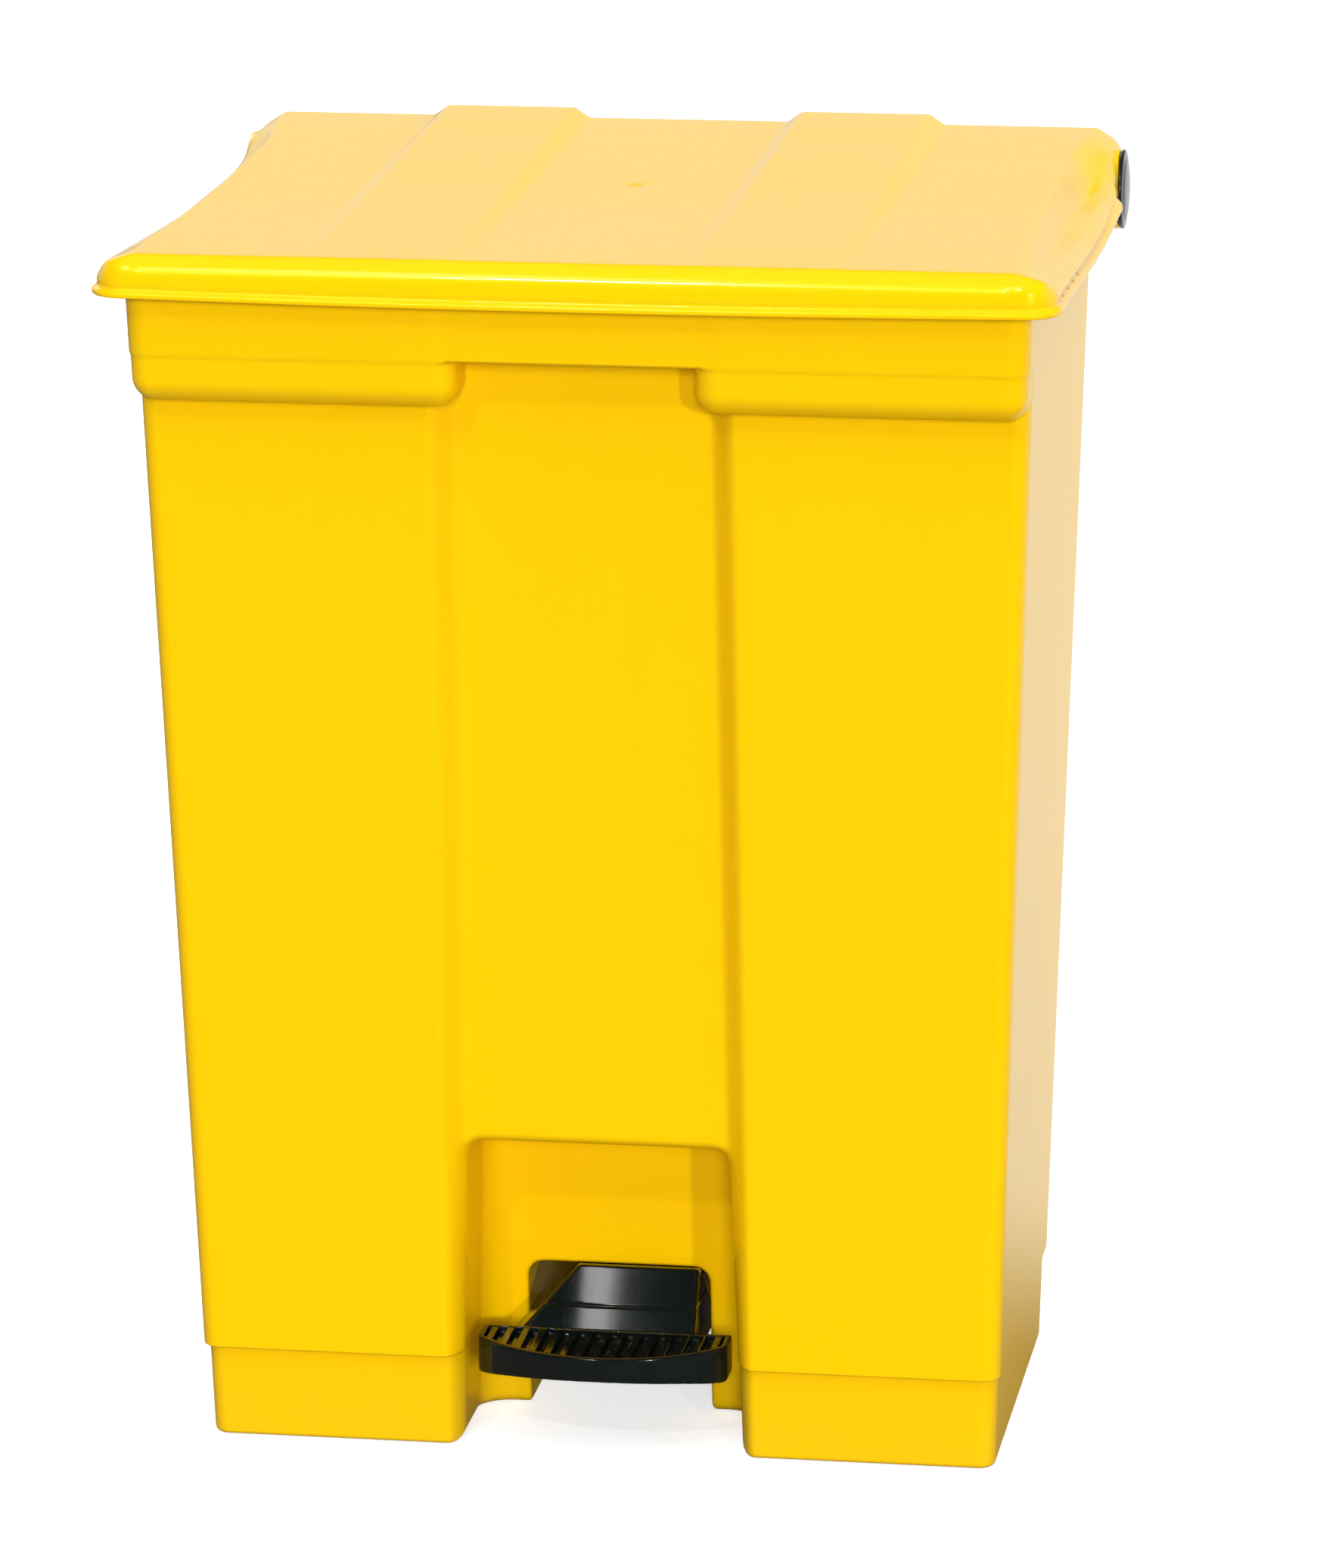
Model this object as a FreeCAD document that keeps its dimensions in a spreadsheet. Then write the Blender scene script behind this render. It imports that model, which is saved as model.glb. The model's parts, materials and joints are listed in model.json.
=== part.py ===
import FreeCAD, Part
import os
import math

from FreeCAD import Vector, Placement, Rotation

# Step-on waste container with a hinged lid, in millimetres.
# Frame: X to the right, Y to the rear, Z up; the origin is the centre of the
# footprint on the floor.

doc = FreeCAD.newDocument("pedal_bin")

# ---------------------------------------------------------------- dimensions
sheet = doc.addObject("Spreadsheet::Sheet", "Sizes")
SIZES = [
    # tub: outer walls, measured on the mid planes of the four sides
    ("body_height", 640.0), ("body_foot", 1.5),
    ("half_width_base", 215.1), ("half_width_top", 234.9),
    ("front_base", -144.9), ("front_top", -171.5),
    ("rear_base", 113.1), ("rear_top", 144.8),
    ("wall", 4.0), ("corner_rear", 32.0), ("corner_front", 6.0),
    ("base_height", 51.7), ("base_setback", 5.6), ("base_inset", 1.9),
    ("collar_bottom", 581.0), ("collar_out", 19.8), ("collar_round", 12.0),
    # central panel, hand hold and toe space
    ("panel_half", 68.0), ("panel_depth", 12.5), ("panel_flank", 12.5),
    ("panel_lean", 2.38), ("hand_half", 62.0), ("hand_bottom", 570.0),
    ("hand_top", 606.5),
    ("toe_top", 175.0), ("toe_half_base", 76.0), ("toe_half_top", 70.7),
    ("toe_back_base", -68.0), ("toe_back_top", -80.0),
    ("tunnel_half", 50.0), ("tunnel_top", 84.5), ("tub_floor", 8.0),
    ("tunnel_rear", 105.0), ("slot_half", 15.0),
    # lid
    ("lid_half", 251.0), ("lid_front", -205.0), ("lid_rear", 205.0),
    ("lid_lip_front", 642.0), ("lid_lip_side", 638.5), ("lid_wall", 3.5),
    ("lid_top_front", 661.0), ("lid_top_rear", 667.3), ("lid_total", 673.0),
    ("rib_inner", 56.0), ("rib_outer", 144.0), ("rib_flank", 8.0),
    # hinge
    ("hinge_y", 177.0), ("hinge_z", 637.0), ("hinge_pin_r", 7.0),
    ("hinge_gap", 0.05), ("ear_inner", 198.0), ("ear_outer", 225.0),
    ("ear_round", 17.0), ("lid_ear_inner", 229.0), ("lid_ear_outer", 244.3),
    ("cap_r", 22.0), ("cap_thick", 4.0),
    # linkage
    ("link_arm", 22.0), ("link_angle", 37.5), ("lid_travel", 75.0),
    ("rod_y", 157.3), ("rod_r", 3.0), ("pivot_y", 5.0), ("pivot_z", 56.0),
    ("axle_r", 5.0), ("axle_gap", 0.05), ("link_pin_r", 2.5),
    ("rod_cover_half", 24.0), ("rod_cover_back", 176.0), ("rod_cover_top", 598.0),
    ("rod_cover_wall", 3.0),
    # pedal
    ("pedal_half", 68.0), ("pedal_side_y", -131.0), ("pedal_front_y", -160.0),
    ("pedal_rear_y", -110.0), ("pedal_top", 60.0), ("pedal_thick", 20.0),
    ("neck_half_low", 46.0), ("neck_half_high", 17.0), ("neck_top", 78.0),
    ("neck_rear_y", -38.0), ("arm_half", 11.0),
]
VAL = {}
for i, (name, value) in enumerate(SIZES, start=1):
    sheet.set("A%d" % i, name)
    sheet.set("B%d" % i, repr(float(value)))
    sheet.setAlias("B%d" % i, name)
    VAL[name] = float(value)
doc.recompute()
V = VAL


def S(name):
    return "Sizes." + name


def at(base, top, z):
    """Expression for a wall that runs from base at z = 0 to top at the rim."""
    return "(%s + (%s - %s) * (%s) / Sizes.body_height)" % (S(base), S(top), S(base), z)


def lin(base, top, z):
    return V[base] + (V[top] - V[base]) * z / V["body_height"]


def bind(obj, prop, expr):
    if isinstance(expr, (int, float)):
        expr = repr(float(expr))
    obj.setExpression(prop, expr)


def wedge(name, z0, z1, hx0, hx1, f0, f1, r0, r1, xc=None):
    """Tapered block: half widths hx, front y and rear y at z0 and z1."""
    o = doc.addObject("Part::Wedge", name)
    o.Placement = Placement(Vector(0, 0, 0), Rotation(Vector(1, 0, 0), 90))
    bind(o, "Ymin", z0); bind(o, "Ymax", z1)
    if xc is None:
        bind(o, "Xmin", "-(%s)" % hx0); bind(o, "Xmax", hx0)
        bind(o, "X2min", "-(%s)" % hx1); bind(o, "X2max", hx1)
    else:
        bind(o, "Xmin", xc[0]); bind(o, "Xmax", xc[1])
        bind(o, "X2min", xc[0]); bind(o, "X2max", xc[1])
    bind(o, "Zmin", "-(%s)" % r0); bind(o, "Zmax", "-(%s)" % f0)
    bind(o, "Z2min", "-(%s)" % r1); bind(o, "Z2max", "-(%s)" % f1)
    return o


def box(name, x0, x1, y0, y1, z0, z1):
    o = doc.addObject("Part::Box", name)
    bind(o, "Length", "(%s) - (%s)" % (x1, x0))
    bind(o, "Width", "(%s) - (%s)" % (y1, y0))
    bind(o, "Height", "(%s) - (%s)" % (z1, z0))
    bind(o, "Placement.Base.x", x0)
    bind(o, "Placement.Base.y", y0)
    bind(o, "Placement.Base.z", z0)
    return o


def cyl_x(name, r, x0, x1, y, z):
    """Cylinder along X."""
    o = doc.addObject("Part::Cylinder", name)
    o.Placement = Placement(Vector(0, 0, 0), Rotation(Vector(0, 1, 0), 90))
    bind(o, "Radius", r)
    bind(o, "Height", "(%s) - (%s)" % (x1, x0))
    bind(o, "Placement.Base.x", x0)
    bind(o, "Placement.Base.y", y)
    bind(o, "Placement.Base.z", z)
    return o


def cyl_z(name, r, x, y, z0, z1):
    o = doc.addObject("Part::Cylinder", name)
    bind(o, "Radius", r)
    bind(o, "Height", "(%s) - (%s)" % (z1, z0))
    bind(o, "Placement.Base.x", x)
    bind(o, "Placement.Base.y", y)
    bind(o, "Placement.Base.z", z0)
    return o


def cyl_y(name, r, x, y0, y1, z):
    o = doc.addObject("Part::Cylinder", name)
    o.Placement = Placement(Vector(0, 0, 0), Rotation(Vector(1, 0, 0), -90))
    bind(o, "Radius", r)
    bind(o, "Height", "(%s) - (%s)" % (y1, y0))
    bind(o, "Placement.Base.x", x)
    bind(o, "Placement.Base.y", y0)
    bind(o, "Placement.Base.z", z)
    return o


def fuse(name, *objs):
    o = doc.addObject("Part::MultiFuse", name)
    o.Shapes = list(objs)
    return o


def cut(name, base, tool):
    o = doc.addObject("Part::Cut", name)
    o.Base = base
    o.Tool = tool
    return o


def common(name, a, b):
    o = doc.addObject("Part::Common", name)
    o.Base = a
    o.Tool = b
    return o


def fillet(name, base, picks):
    """picks: list of (test(edge), radius alias)."""
    doc.recompute()
    o = doc.addObject("Part::Fillet", name)
    o.Base = base
    edges = []
    for i, e in enumerate(base.Shape.Edges, start=1):
        for test, alias in picks:
            if test(e):
                edges.append((i, V[alias], V[alias]))
                break
    o.Edges = edges
    return o


NODES = []


def node(obj, label):
    obj.Label = label
    NODES.append((label, obj))
    return obj


def upright(e):
    a, b = e.Vertexes[0].Point, e.Vertexes[-1].Point
    return abs(a.z - b.z) > 0.8 * e.Length and e.Length > 20


def is_rear(e):
    return upright(e) and e.CenterOfMass.y > 60


def is_front(e):
    return upright(e) and e.CenterOfMass.y < -60


# ------------------------------------------------------------------ the tub
hw = lambda z: at("half_width_base", "half_width_top", z)
fy = lambda z: at("front_base", "front_top", z)
ry = lambda z: at("rear_base", "rear_top", z)
T = S("wall")

# outside: base block set back under the tapered walls, with the collar in front
base_z1 = S("base_height")
b0 = wedge("base_block", S("body_foot"), base_z1,
           hw(S("body_foot")) + " - Sizes.base_inset", hw(base_z1) + " - Sizes.base_inset",
           fy(S("body_foot")) + " + Sizes.base_setback", fy(base_z1) + " + Sizes.base_setback",
           ry(S("body_foot")) + " - Sizes.base_inset", ry(base_z1) + " - Sizes.base_inset")
b0f = fillet("base_rounded", b0, [(is_rear, "corner_rear"), (is_front, "corner_front"),
                                  (lambda e: e.CenterOfMass.z < 2.0, "corner_front")])
w0 = wedge("wall_block", base_z1, S("body_height"),
           hw(base_z1), hw(S("body_height")), fy(base_z1), fy(S("body_height")),
           ry(base_z1), ry(S("body_height")))
w0f = fillet("wall_rounded", w0, [(is_rear, "corner_rear"), (is_front, "corner_front")])
c0 = wedge("collar_block", S("collar_bottom"), S("body_height"),
           hw(S("collar_bottom")), hw(S("body_height")),
           fy(S("collar_bottom")) + " - Sizes.collar_out", fy(S("body_height")) + " - Sizes.collar_out",
           fy(S("collar_bottom")) + " + 30", fy(S("body_height")) + " + 30")
c0f = fillet("collar_rounded", c0, [
    (is_front, "corner_front"),
    (lambda e: abs(e.CenterOfMass.x) < 1 and e.Length > 100 and e.CenterOfMass.y < -180
        and e.CenterOfMass.z < 600, "collar_round")])
outside = fuse("tub_outside", b0f, w0f, c0f)

# recesses in the front: the sunk central panel, which runs up into the hand
# hold behind the collar, and the toe space with the pedal tunnel behind it
panel_y = lambda z: fy(z) + " + Sizes.panel_depth"


def sunk_panel(name, extra):
    """Block with flanks that open out towards the front, leaned back to lie
    parallel to the front wall; extra grows it by one wall."""
    o = doc.addObject("Part::Wedge", name)
    o.Placement = Placement(Vector(0, 0, 0), Rotation(Vector(1, 0, 0), V["panel_lean"]))
    half = "Sizes.panel_half + 1.2 * (%s)" % extra
    wide = half + " + (Sizes.panel_flank / Sizes.panel_depth) * (Sizes.panel_depth + %s + 8)" % extra
    bind(o, "Ymin", "-8"); bind(o, "Ymax", "Sizes.panel_depth + %s" % extra)
    bind(o, "Xmin", "-(%s)" % wide); bind(o, "Xmax", wide)
    bind(o, "X2min", "-(%s)" % half); bind(o, "X2max", half)
    bind(o, "Zmin", "-20"); bind(o, "Zmax", "Sizes.collar_bottom - 2 + %s" % extra)
    bind(o, "Z2min", "-20"); bind(o, "Z2max", "Sizes.collar_bottom - 2 + %s" % extra)
    bind(o, "Placement.Base.y", S("front_base"))
    return o


p0 = sunk_panel("panel_space", "0")
grip0 = wedge("hand_space", S("hand_bottom"), S("hand_top"), S("hand_half"), S("hand_half"),
              fy(S("hand_bottom")) + " - 60", fy(S("hand_top")) + " - 60",
              panel_y(S("hand_bottom")), panel_y(S("hand_top")))
grip0f = fillet("hand_space_rounded", grip0, [
    (lambda e: abs(e.CenterOfMass.z - V["hand_top"]) < 0.5 and abs(abs(e.CenterOfMass.x) - V["hand_half"]) < 0.5, "corner_front")])
toe0 = wedge("toe_space", "-5", S("toe_top"), S("toe_half_base"), S("toe_half_top"),
             fy("-5") + " - 60", fy(S("toe_top")) + " - 60",
             S("toe_back_base"), S("toe_back_top"))
tun0 = box("tunnel_space", "-" + S("tunnel_half"), S("tunnel_half"),
           "-100", S("tunnel_rear"), "-5", S("tunnel_top"))
slot0 = box("rear_slot", "-" + S("slot_half"), S("slot_half"), "100", "140", "-5", S("tunnel_top"))
tun0f = fillet("tunnel_rounded", tun0, [
    (lambda e: abs(e.CenterOfMass.z - V["tunnel_top"]) < 0.5 and abs(abs(e.CenterOfMass.x) - V["tunnel_half"]) < 0.5, "corner_front")])
spaces = fuse("front_spaces", p0, grip0f, toe0, tun0f, slot0)

# cavity: the outside less one wall, and less the recesses plus one wall
top_over = "Sizes.body_height + 10"
low_top = "(Sizes.base_height + %s + 1)" % T
wall_in = "(Sizes.base_height + %s)" % T
ql = wedge("cavity_base", S("tub_floor"), low_top,
           hw(S("tub_floor")) + " - %s - Sizes.base_inset" % T, hw(low_top) + " - %s - Sizes.base_inset" % T,
           fy(S("tub_floor")) + " + %s + Sizes.base_setback" % T, fy(low_top) + " + %s + Sizes.base_setback" % T,
           ry(S("tub_floor")) + " - %s - Sizes.base_inset" % T, ry(low_top) + " - %s - Sizes.base_inset" % T)
qlf = fillet("cavity_base_rounded", ql, [(is_rear, "corner_rear"), (is_front, "corner_front")])
q0 = wedge("cavity_block", wall_in, top_over,
           hw(wall_in) + " - %s" % T, hw(top_over) + " - %s" % T,
           fy(wall_in) + " + %s" % T, fy(top_over) + " + %s" % T,
           ry(wall_in) + " - %s" % T, ry(top_over) + " - %s" % T)
q0f = fillet("cavity_rounded", q0, [(is_rear, "corner_rear"), (is_front, "corner_front")])
col0 = wedge("collar_cavity", "Sizes.hand_top + 2 * %s" % T, top_over,
             hw("Sizes.hand_top + 2 * %s" % T) + " - %s" % T, hw(top_over) + " - %s" % T,
             fy("Sizes.hand_top + 2 * %s" % T) + " - Sizes.collar_out + %s" % T, fy(top_over) + " - Sizes.collar_out + %s" % T,
             fy("Sizes.hand_top + 2 * %s" % T) + " + 40", fy(top_over) + " + 40")
cav = fuse("cavity_all", qlf, q0f, col0)
p1 = sunk_panel("panel_skin", T)
grip1 = wedge("hand_skin", "Sizes.hand_bottom - %s" % T, "Sizes.hand_top + %s" % T,
              "Sizes.hand_half + %s" % T, "Sizes.hand_half + %s" % T,
              fy(S("hand_bottom")) + " - 60", fy(S("hand_top")) + " - 60",
              panel_y(S("hand_bottom")) + " + %s" % T, panel_y(S("hand_top")) + " + %s" % T)
toe1 = wedge("toe_skin", "-5", "Sizes.toe_top + %s" % T, "Sizes.toe_half_base + %s" % T, "Sizes.toe_half_top + %s" % T,
             fy("-5") + " - 60", fy(S("toe_top")) + " - 60",
             "Sizes.toe_back_base + %s" % T, "Sizes.toe_back_top + %s" % T)
tun1 = box("tunnel_skin", "-Sizes.tunnel_half - %s" % T, "Sizes.tunnel_half + %s" % T,
           "-100", "140", "-5", "Sizes.tunnel_top + %s" % T)
skins = fuse("recess_skins", p1, grip1, toe1, tun1)
cavity = cut("cavity", cav, skins)
tub_a = cut("tub_a", outside, spaces)
tub_b = cut("tub_b", tub_a, cavity)

# hinge ears on the rear wall, one at each side, bored for the hinge pins
ears = []
for side, sx in (("left", -1), ("right", 1)):
    x0, x1 = (S("ear_inner"), S("ear_outer")) if sx > 0 else ("-" + S("ear_outer"), "-" + S("ear_inner"))
    barrel = cyl_x("ear_barrel_" + side, S("ear_round"), x0, x1, S("hinge_y"), S("hinge_z"))
    web = box("ear_web_" + side, x0 if sx > 0 else "-Sizes.ear_inner - 22", "Sizes.ear_inner + 22" if sx > 0 else x1,
              "Sizes.rear_top - 20", S("hinge_y"), "Sizes.hinge_z - Sizes.ear_round", "Sizes.hinge_z + Sizes.ear_round - 6")
    ears += [barrel, web]
# the webs stay outside the tub's cavity
ear_all = fuse("ears", *ears)
ear_cut = cut("ears_trimmed", ear_all, q0f)
tub_c = fuse("tub_c", tub_b, ear_cut)
bores = fuse("pin_bores",
             cyl_x("pin_bore_left", S("hinge_pin_r"), "-Sizes.ear_outer - 1", "-Sizes.ear_inner + 6", S("hinge_y"), S("hinge_z")),
             cyl_x("pin_bore_right", S("hinge_pin_r"), "Sizes.ear_inner - 6", "Sizes.ear_outer + 1", S("hinge_y"), S("hinge_z")))
tub = cut("tub", tub_c, bores)
node(tub, "bin_body")

# --------------------------------------------------------- rubber foot pads
pads = []
for i, (x, y) in enumerate(((-185, -110), (185, -110), (-170, 82), (170, 82))):
    pads.append(cyl_z("foot_pad_%d" % i, 11.0, x, y, "0", S("body_foot")))
node(doc.addObject("Part::Compound", "foot_pads_all"), "foot_pads").Links = pads

# ------------------------------------------------------------- hinge pins
for side, sx in (("left", -1), ("right", 1)):
    # the left pin ends just inside the lid's corner, the right one carries a cap
    a, b = ("Sizes.ear_inner", "Sizes.lid_ear_outer + 3") if sx > 0 else ("-Sizes.lid_ear_outer + 0.4", "-Sizes.ear_inner")
    pin = cyl_x("pin_" + side, S("hinge_pin_r"), a, b, S("hinge_y"), S("hinge_z"))
    node(pin, "hinge_pin_" + side)
    if sx < 0:
        continue
    # domed cap with a socket that takes the end of the pin
    body = doc.addObject("PartDesign::Body", "cap_body_" + side)
    sk = body.newObject("Sketcher::SketchObject", "cap_profile_" + side)
    plane = [f for f in body.Origin.OriginFeatures if getattr(f, "Role", "") == "XY_Plane"][0]
    sk.AttachmentSupport = [(plane, "")]
    sk.MapMode = "FlatFace"
    r, th, pr = V["cap_r"], V["cap_thick"], V["hinge_pin_r"]
    pts = [(0, 3.0), (pr, 3.0), (pr, 0), (r, 0), (r, 1.6), (r - 1.6, 2.6), (10, th), (0, th + 0.3)]
    for k in range(len(pts)):
        p, q = pts[k], pts[(k + 1) % len(pts)]
        sk.addGeometry(Part.LineSegment(Vector(p[0], p[1], 0), Vector(q[0], q[1], 0)), False)
    import Sketcher
    n = len(pts)
    for k in range(n):
        sk.addConstraint(Sketcher.Constraint("Coincident", k, 2, (k + 1) % n, 1))
    sk.addConstraint(Sketcher.Constraint("DistanceX", -1, 1, 3, 1, r))
    sk.setExpression("Constraints[%d]" % (sk.ConstraintCount - 1), S("cap_r"))
    sk.addConstraint(Sketcher.Constraint("DistanceX", -1, 1, 1, 1, pr))
    sk.setExpression("Constraints[%d]" % (sk.ConstraintCount - 1), S("hinge_pin_r"))
    doc.recompute()
    rev = body.newObject("PartDesign::Revolution", "cap_turned_" + side)
    rev.Profile = sk
    rev.ReferenceAxis = (sk, ["V_Axis"])
    rev.Angle = 360.0
    body.Tip = rev
    doc.recompute()
    body.Placement = Placement(Vector(sx * V["lid_ear_outer"] + sx * 0.5, V["hinge_y"], V["hinge_z"]),
                               Rotation(Vector(0, 0, 1), -90 if sx > 0 else 90))
    node(body, "hinge_cap")

# ---------------------------------------------------------------- the lid
# A thin skin lofted front to rear. The top panel is flat across and climbs to
# the rear; it stands above a flared side flange with a valley between them
# that opens out towards the rear and is closed by the hinge corners.


def lid_section(y, half, lip, top, a, va, vz, ba, bz, rise, inset=0.0, low=None):
    """Closed cross section at y. half: lip half width, lip: lip height,
    a: panel half width, (va, vz): valley, (ba, bz): flange shoulder,
    rise: rib height, inset: shell thickness for the inner skin."""
    i = inset
    ri, ro, fl = V["rib_inner"], V["rib_outer"], V["rib_flank"]
    zt = top - i
    pts = [(0, zt), (ri, zt), (ri + fl, zt + rise), (ro - fl, zt + rise), (ro, zt),
           (a - i * 0.6, zt), (va - i, vz - i * 0.5), (ba - i, bz - i * 0.5), (half - i, lip + 1.5), (half - i, low if low is not None else lip)]
    full = [Vector(-x, y, z) for x, z in reversed(pts[1:])] + [Vector(x, y, z) for x, z in pts]
    return Part.makePolygon(full + [full[0]])


LF, LR = V["lid_front"], V["lid_rear"]
ZL, ZS = V["lid_lip_front"], V["lid_lip_side"]
TF, TR = V["lid_top_front"], V["lid_top_rear"]
LH, RT = V["lid_half"], V["lid_total"]
rr = RT - TR
# y, half, lip, top, a, (valley), (shoulder), rib height
STATIONS = [
    (LF, LH - 6.0, ZL, ZL + 9.0, 230.0, 237.0, ZL + 8.0, 241.0, ZL + 6.0, 0.02),
    (LF + 2.5, LH - 3.5, ZL, ZL + 15.5, 231.0, 237.5, ZL + 14.0, 242.0, ZL + 11.0, 0.02),
    (LF + 8.0, LH - 1.5, ZL, TF - 0.8, 231.0, 237.0, TF - 1.8, 242.0, TF - 4.0, 0.03),
    (LF + 18.0, LH, ZL, TF, 229.0, 236.0, TF - 2.0, 242.5, TF - 4.5, 0.25),
    (LF + 100.0, LH, ZL - 2.0, TF + (TR - TF) * 0.25, 227.0, 233.5, 652.5, 243.0, 651.0, rr * 0.26),
    (LF + 205.0, LH, ZS, TF + (TR - TF) * 0.5, 225.0, 233.0, 648.0, 243.5, 647.5, rr * 0.52),
    (LF + 300.0, LH, ZS - 1.0, TF + (TR - TF) * 0.75, 223.5, 234.0, 646.0, 243.0, 645.5, rr * 0.77),
    (LF + 345.0, LH - 2.5, ZS - 1.5, TF + (TR - TF) * 0.87, 223.5, 237.0, 649.0, 243.0, 645.5, rr * 0.88),
    (LF + 356.0, LH - 6.7, ZS - 1.8, TF + (TR - TF) * 0.90, 225.0, 238.0, 652.5, 242.3, 647.0, rr * 0.91),
    (LF + 375.0, LH - 6.7, ZS - 2.0, TF + (TR - TF) * 0.95, 227.0, 239.5, 656.5, 243.0, 650.0, rr * 0.96),
    (LR - 8.0, LH - 7.0, ZS - 2.0, TR, 229.0, 239.0, 660.0, 242.5, 655.0, rr),
    (LR - 2.5, LH - 9.0, ZS - 2.0, TR - 3.5, 227.0, 235.0, 657.0, 240.0, 652.0, rr * 0.8),
    (LR, LH - 13.0, ZS - 2.0, TR - 9.0, 222.0, 230.0, 652.0, 235.5, 648.0, rr * 0.6),
]
outer = Part.makeLoft([lid_section(*st) for st in STATIONS], True, True)
lw = V["lid_wall"]
inner_st = []
for st in STATIONS[2:-2]:
    y = st[0]
    if st is STATIONS[2]:
        y = LF + lw + 1.5
    if st is STATIONS[-3]:
        y = LR - lw
    inner_st.append((y,) + st[1:])
inner_low = ZS - 30.0
inner = Part.makeLoft([lid_section(*st, inset=lw, low=inner_low) for st in inner_st], True, True)
skin = outer.cut(inner)
# rear skirt and hinge corners hang below the lip line, round the hinge pins
hy, hz = V["hinge_y"], V["hinge_z"]
parts_l = []
for sx in (-1, 1):
    xi, xo = V["lid_ear_inner"], V["lid_ear_outer"]
    boss = Part.makeCylinder(14.0, xo - xi, Vector(xi, hy, hz), Vector(1, 0, 0))
    plate = Part.makeBox(lw, 44.0, 34.0, Vector(xo - lw, hy - 22.0, hz - 8.0))
    disc = Part.makeCylinder(21.0, lw, Vector(xo - lw, hy, hz), Vector(1, 0, 0))
    e = boss.fuse([plate, disc])
    e = e.common(outer.fuse([Part.makeCylinder(21.0, xo - xi + 2, Vector(xi - 1, hy, hz), Vector(1, 0, 0))]))
    bore = Part.makeCylinder(V["hinge_pin_r"] + V["hinge_gap"], xo - xi + 10, Vector(xi - 5, hy, hz), Vector(1, 0, 0))
    e = e.cut(bore)
    if sx < 0:
        e = e.mirror(Vector(0, 0, 0), Vector(1, 0, 0))
    parts_l.append(e)
    sock = Part.makeCylinder(V["hinge_pin_r"] + V["hinge_gap"], 30, Vector(xo - 12, hy, hz), Vector(1, 0, 0))
    if sx < 0:
        sock = sock.mirror(Vector(0, 0, 0), Vector(1, 0, 0))
    skin = skin.cut(sock)
lid_shape = skin.fuse(parts_l).removeSplitter()
lid = doc.addObject("Part::Feature", "lid_skin")
lid.Shape = lid_shape
lid.Placement = Placement()
node(lid, "lid")

# ------------------------------------------------------- lid lift bracket
def under_lid(obj, name):
    """The part of obj that lies below the lid's skin."""
    doc.recompute()
    low = min(obj.Shape.cut(lid_shape).Solids, key=lambda q: q.CenterOfMass.z)
    o = doc.addObject("Part::Feature", name)
    o.Shape = low
    o.Placement = Placement()
    return o


ang = math.radians(V["link_angle"])
link_y = V["hinge_y"] - V["link_arm"] * math.cos(ang)
link_z = V["hinge_z"] - V["link_arm"] * math.sin(ang)
lid_under = TF + (TR - TF) * 0.9 - lw
plate = under_lid(box("bracket_plate", -26, 26, link_y - 9, link_y + 33, lid_under - 2.6, lid_under + 4), "bracket_plate_cut")
earL = box("bracket_ear_a", -11.5, -9, link_y - 6, link_y + 10, link_z - 5, lid_under - 1)
earR = box("bracket_ear_b", 9, 11.5, link_y - 6, link_y + 10, link_z - 5, lid_under - 1)
br = fuse("bracket_raw", plate, earL, earR)
brh = cyl_x("bracket_bore", S("link_pin_r"), -20, 20, link_y, link_z)
node(cut("bracket_cut", br, brh), "lid_bracket")
node(cyl_x("bracket_pin", S("link_pin_r"), -13, 13, link_y, link_z), "lid_bracket_pin")
scr = []
for i, (x, y) in enumerate(((-20, link_y), (20, link_y), (-20, link_y + 26), (20, link_y + 26))):
    scr.append(cyl_z("bracket_screw_%d" % i, 3.8, x, y, lid_under - 5.0, lid_under - 2.6))
node(doc.addObject("Part::Compound", "bracket_screws_all"), "lid_bracket_screws").Links = scr

# rubber bumpers under the lid, over the tub's rim
bum = []
for i, (x, y, r) in enumerate(((-150, -189.0, 5.0), (150, -189.0, 5.0), (-231.5, 40, 3.4), (231.5, 40, 3.4))):
    bum.append(under_lid(cyl_z("bumper_%d" % i, r, x, y, S("body_height") + " + 0.4", 662), "bumper_cut_%d" % i))
node(doc.addObject("Part::Compound", "bumpers_all"), "lid_bumpers").Links = bum

# ----------------------------------------------------------- the lift rod
py, pz = V["pivot_y"], V["pivot_z"]
rise = 2 * V["link_arm"] * math.sin(ang)
foot_z = pz - rise / 2
node(cyl_z("rod_wire", S("rod_r"), 0, S("rod_y"), foot_z + 8.0, link_z - 9.0), "lift_rod")
# slotted head round the bracket's pin
head = box("rod_head_block", -7.5, 7.5, V["rod_y"] - 10, V["rod_y"] + 10, link_z - 18, link_z + 8)
hslot = box("rod_head_slot", -10, 10, V["rod_y"] - 7.0, V["rod_y"] + 7.0, link_z - 4.0, link_z + 4.0)
hbore = cyl_z("rod_head_bore", S("rod_r"), 0, S("rod_y"), link_z - 20, link_z - 9.0)
node(cut("rod_head_cut", head, fuse("rod_head_tools", hslot, hbore)), "rod_head")
# forked foot round the lever's rear end
foot = box("rod_foot_block", -12.0, 12.0, V["rod_y"] - 9, V["rod_y"] + 9, foot_z - 8, foot_z + 22)
fslot = box("rod_foot_gap", -7.0, 7.0, V["rod_y"] - 12, V["rod_y"] + 12, foot_z - 12, foot_z + 11)
fhole = box("rod_foot_hole", -15, 15, V["rod_y"] - 4.5, V["rod_y"] + 4.5, foot_z - 3.4, foot_z + 3.4)
fbore = cyl_z("rod_foot_bore", S("rod_r"), 0, S("rod_y"), foot_z + 8, foot_z + 30)
node(cut("rod_foot_cut", foot, fuse("rod_foot_tools", fslot, fhole, fbore)), "rod_foot")

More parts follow.
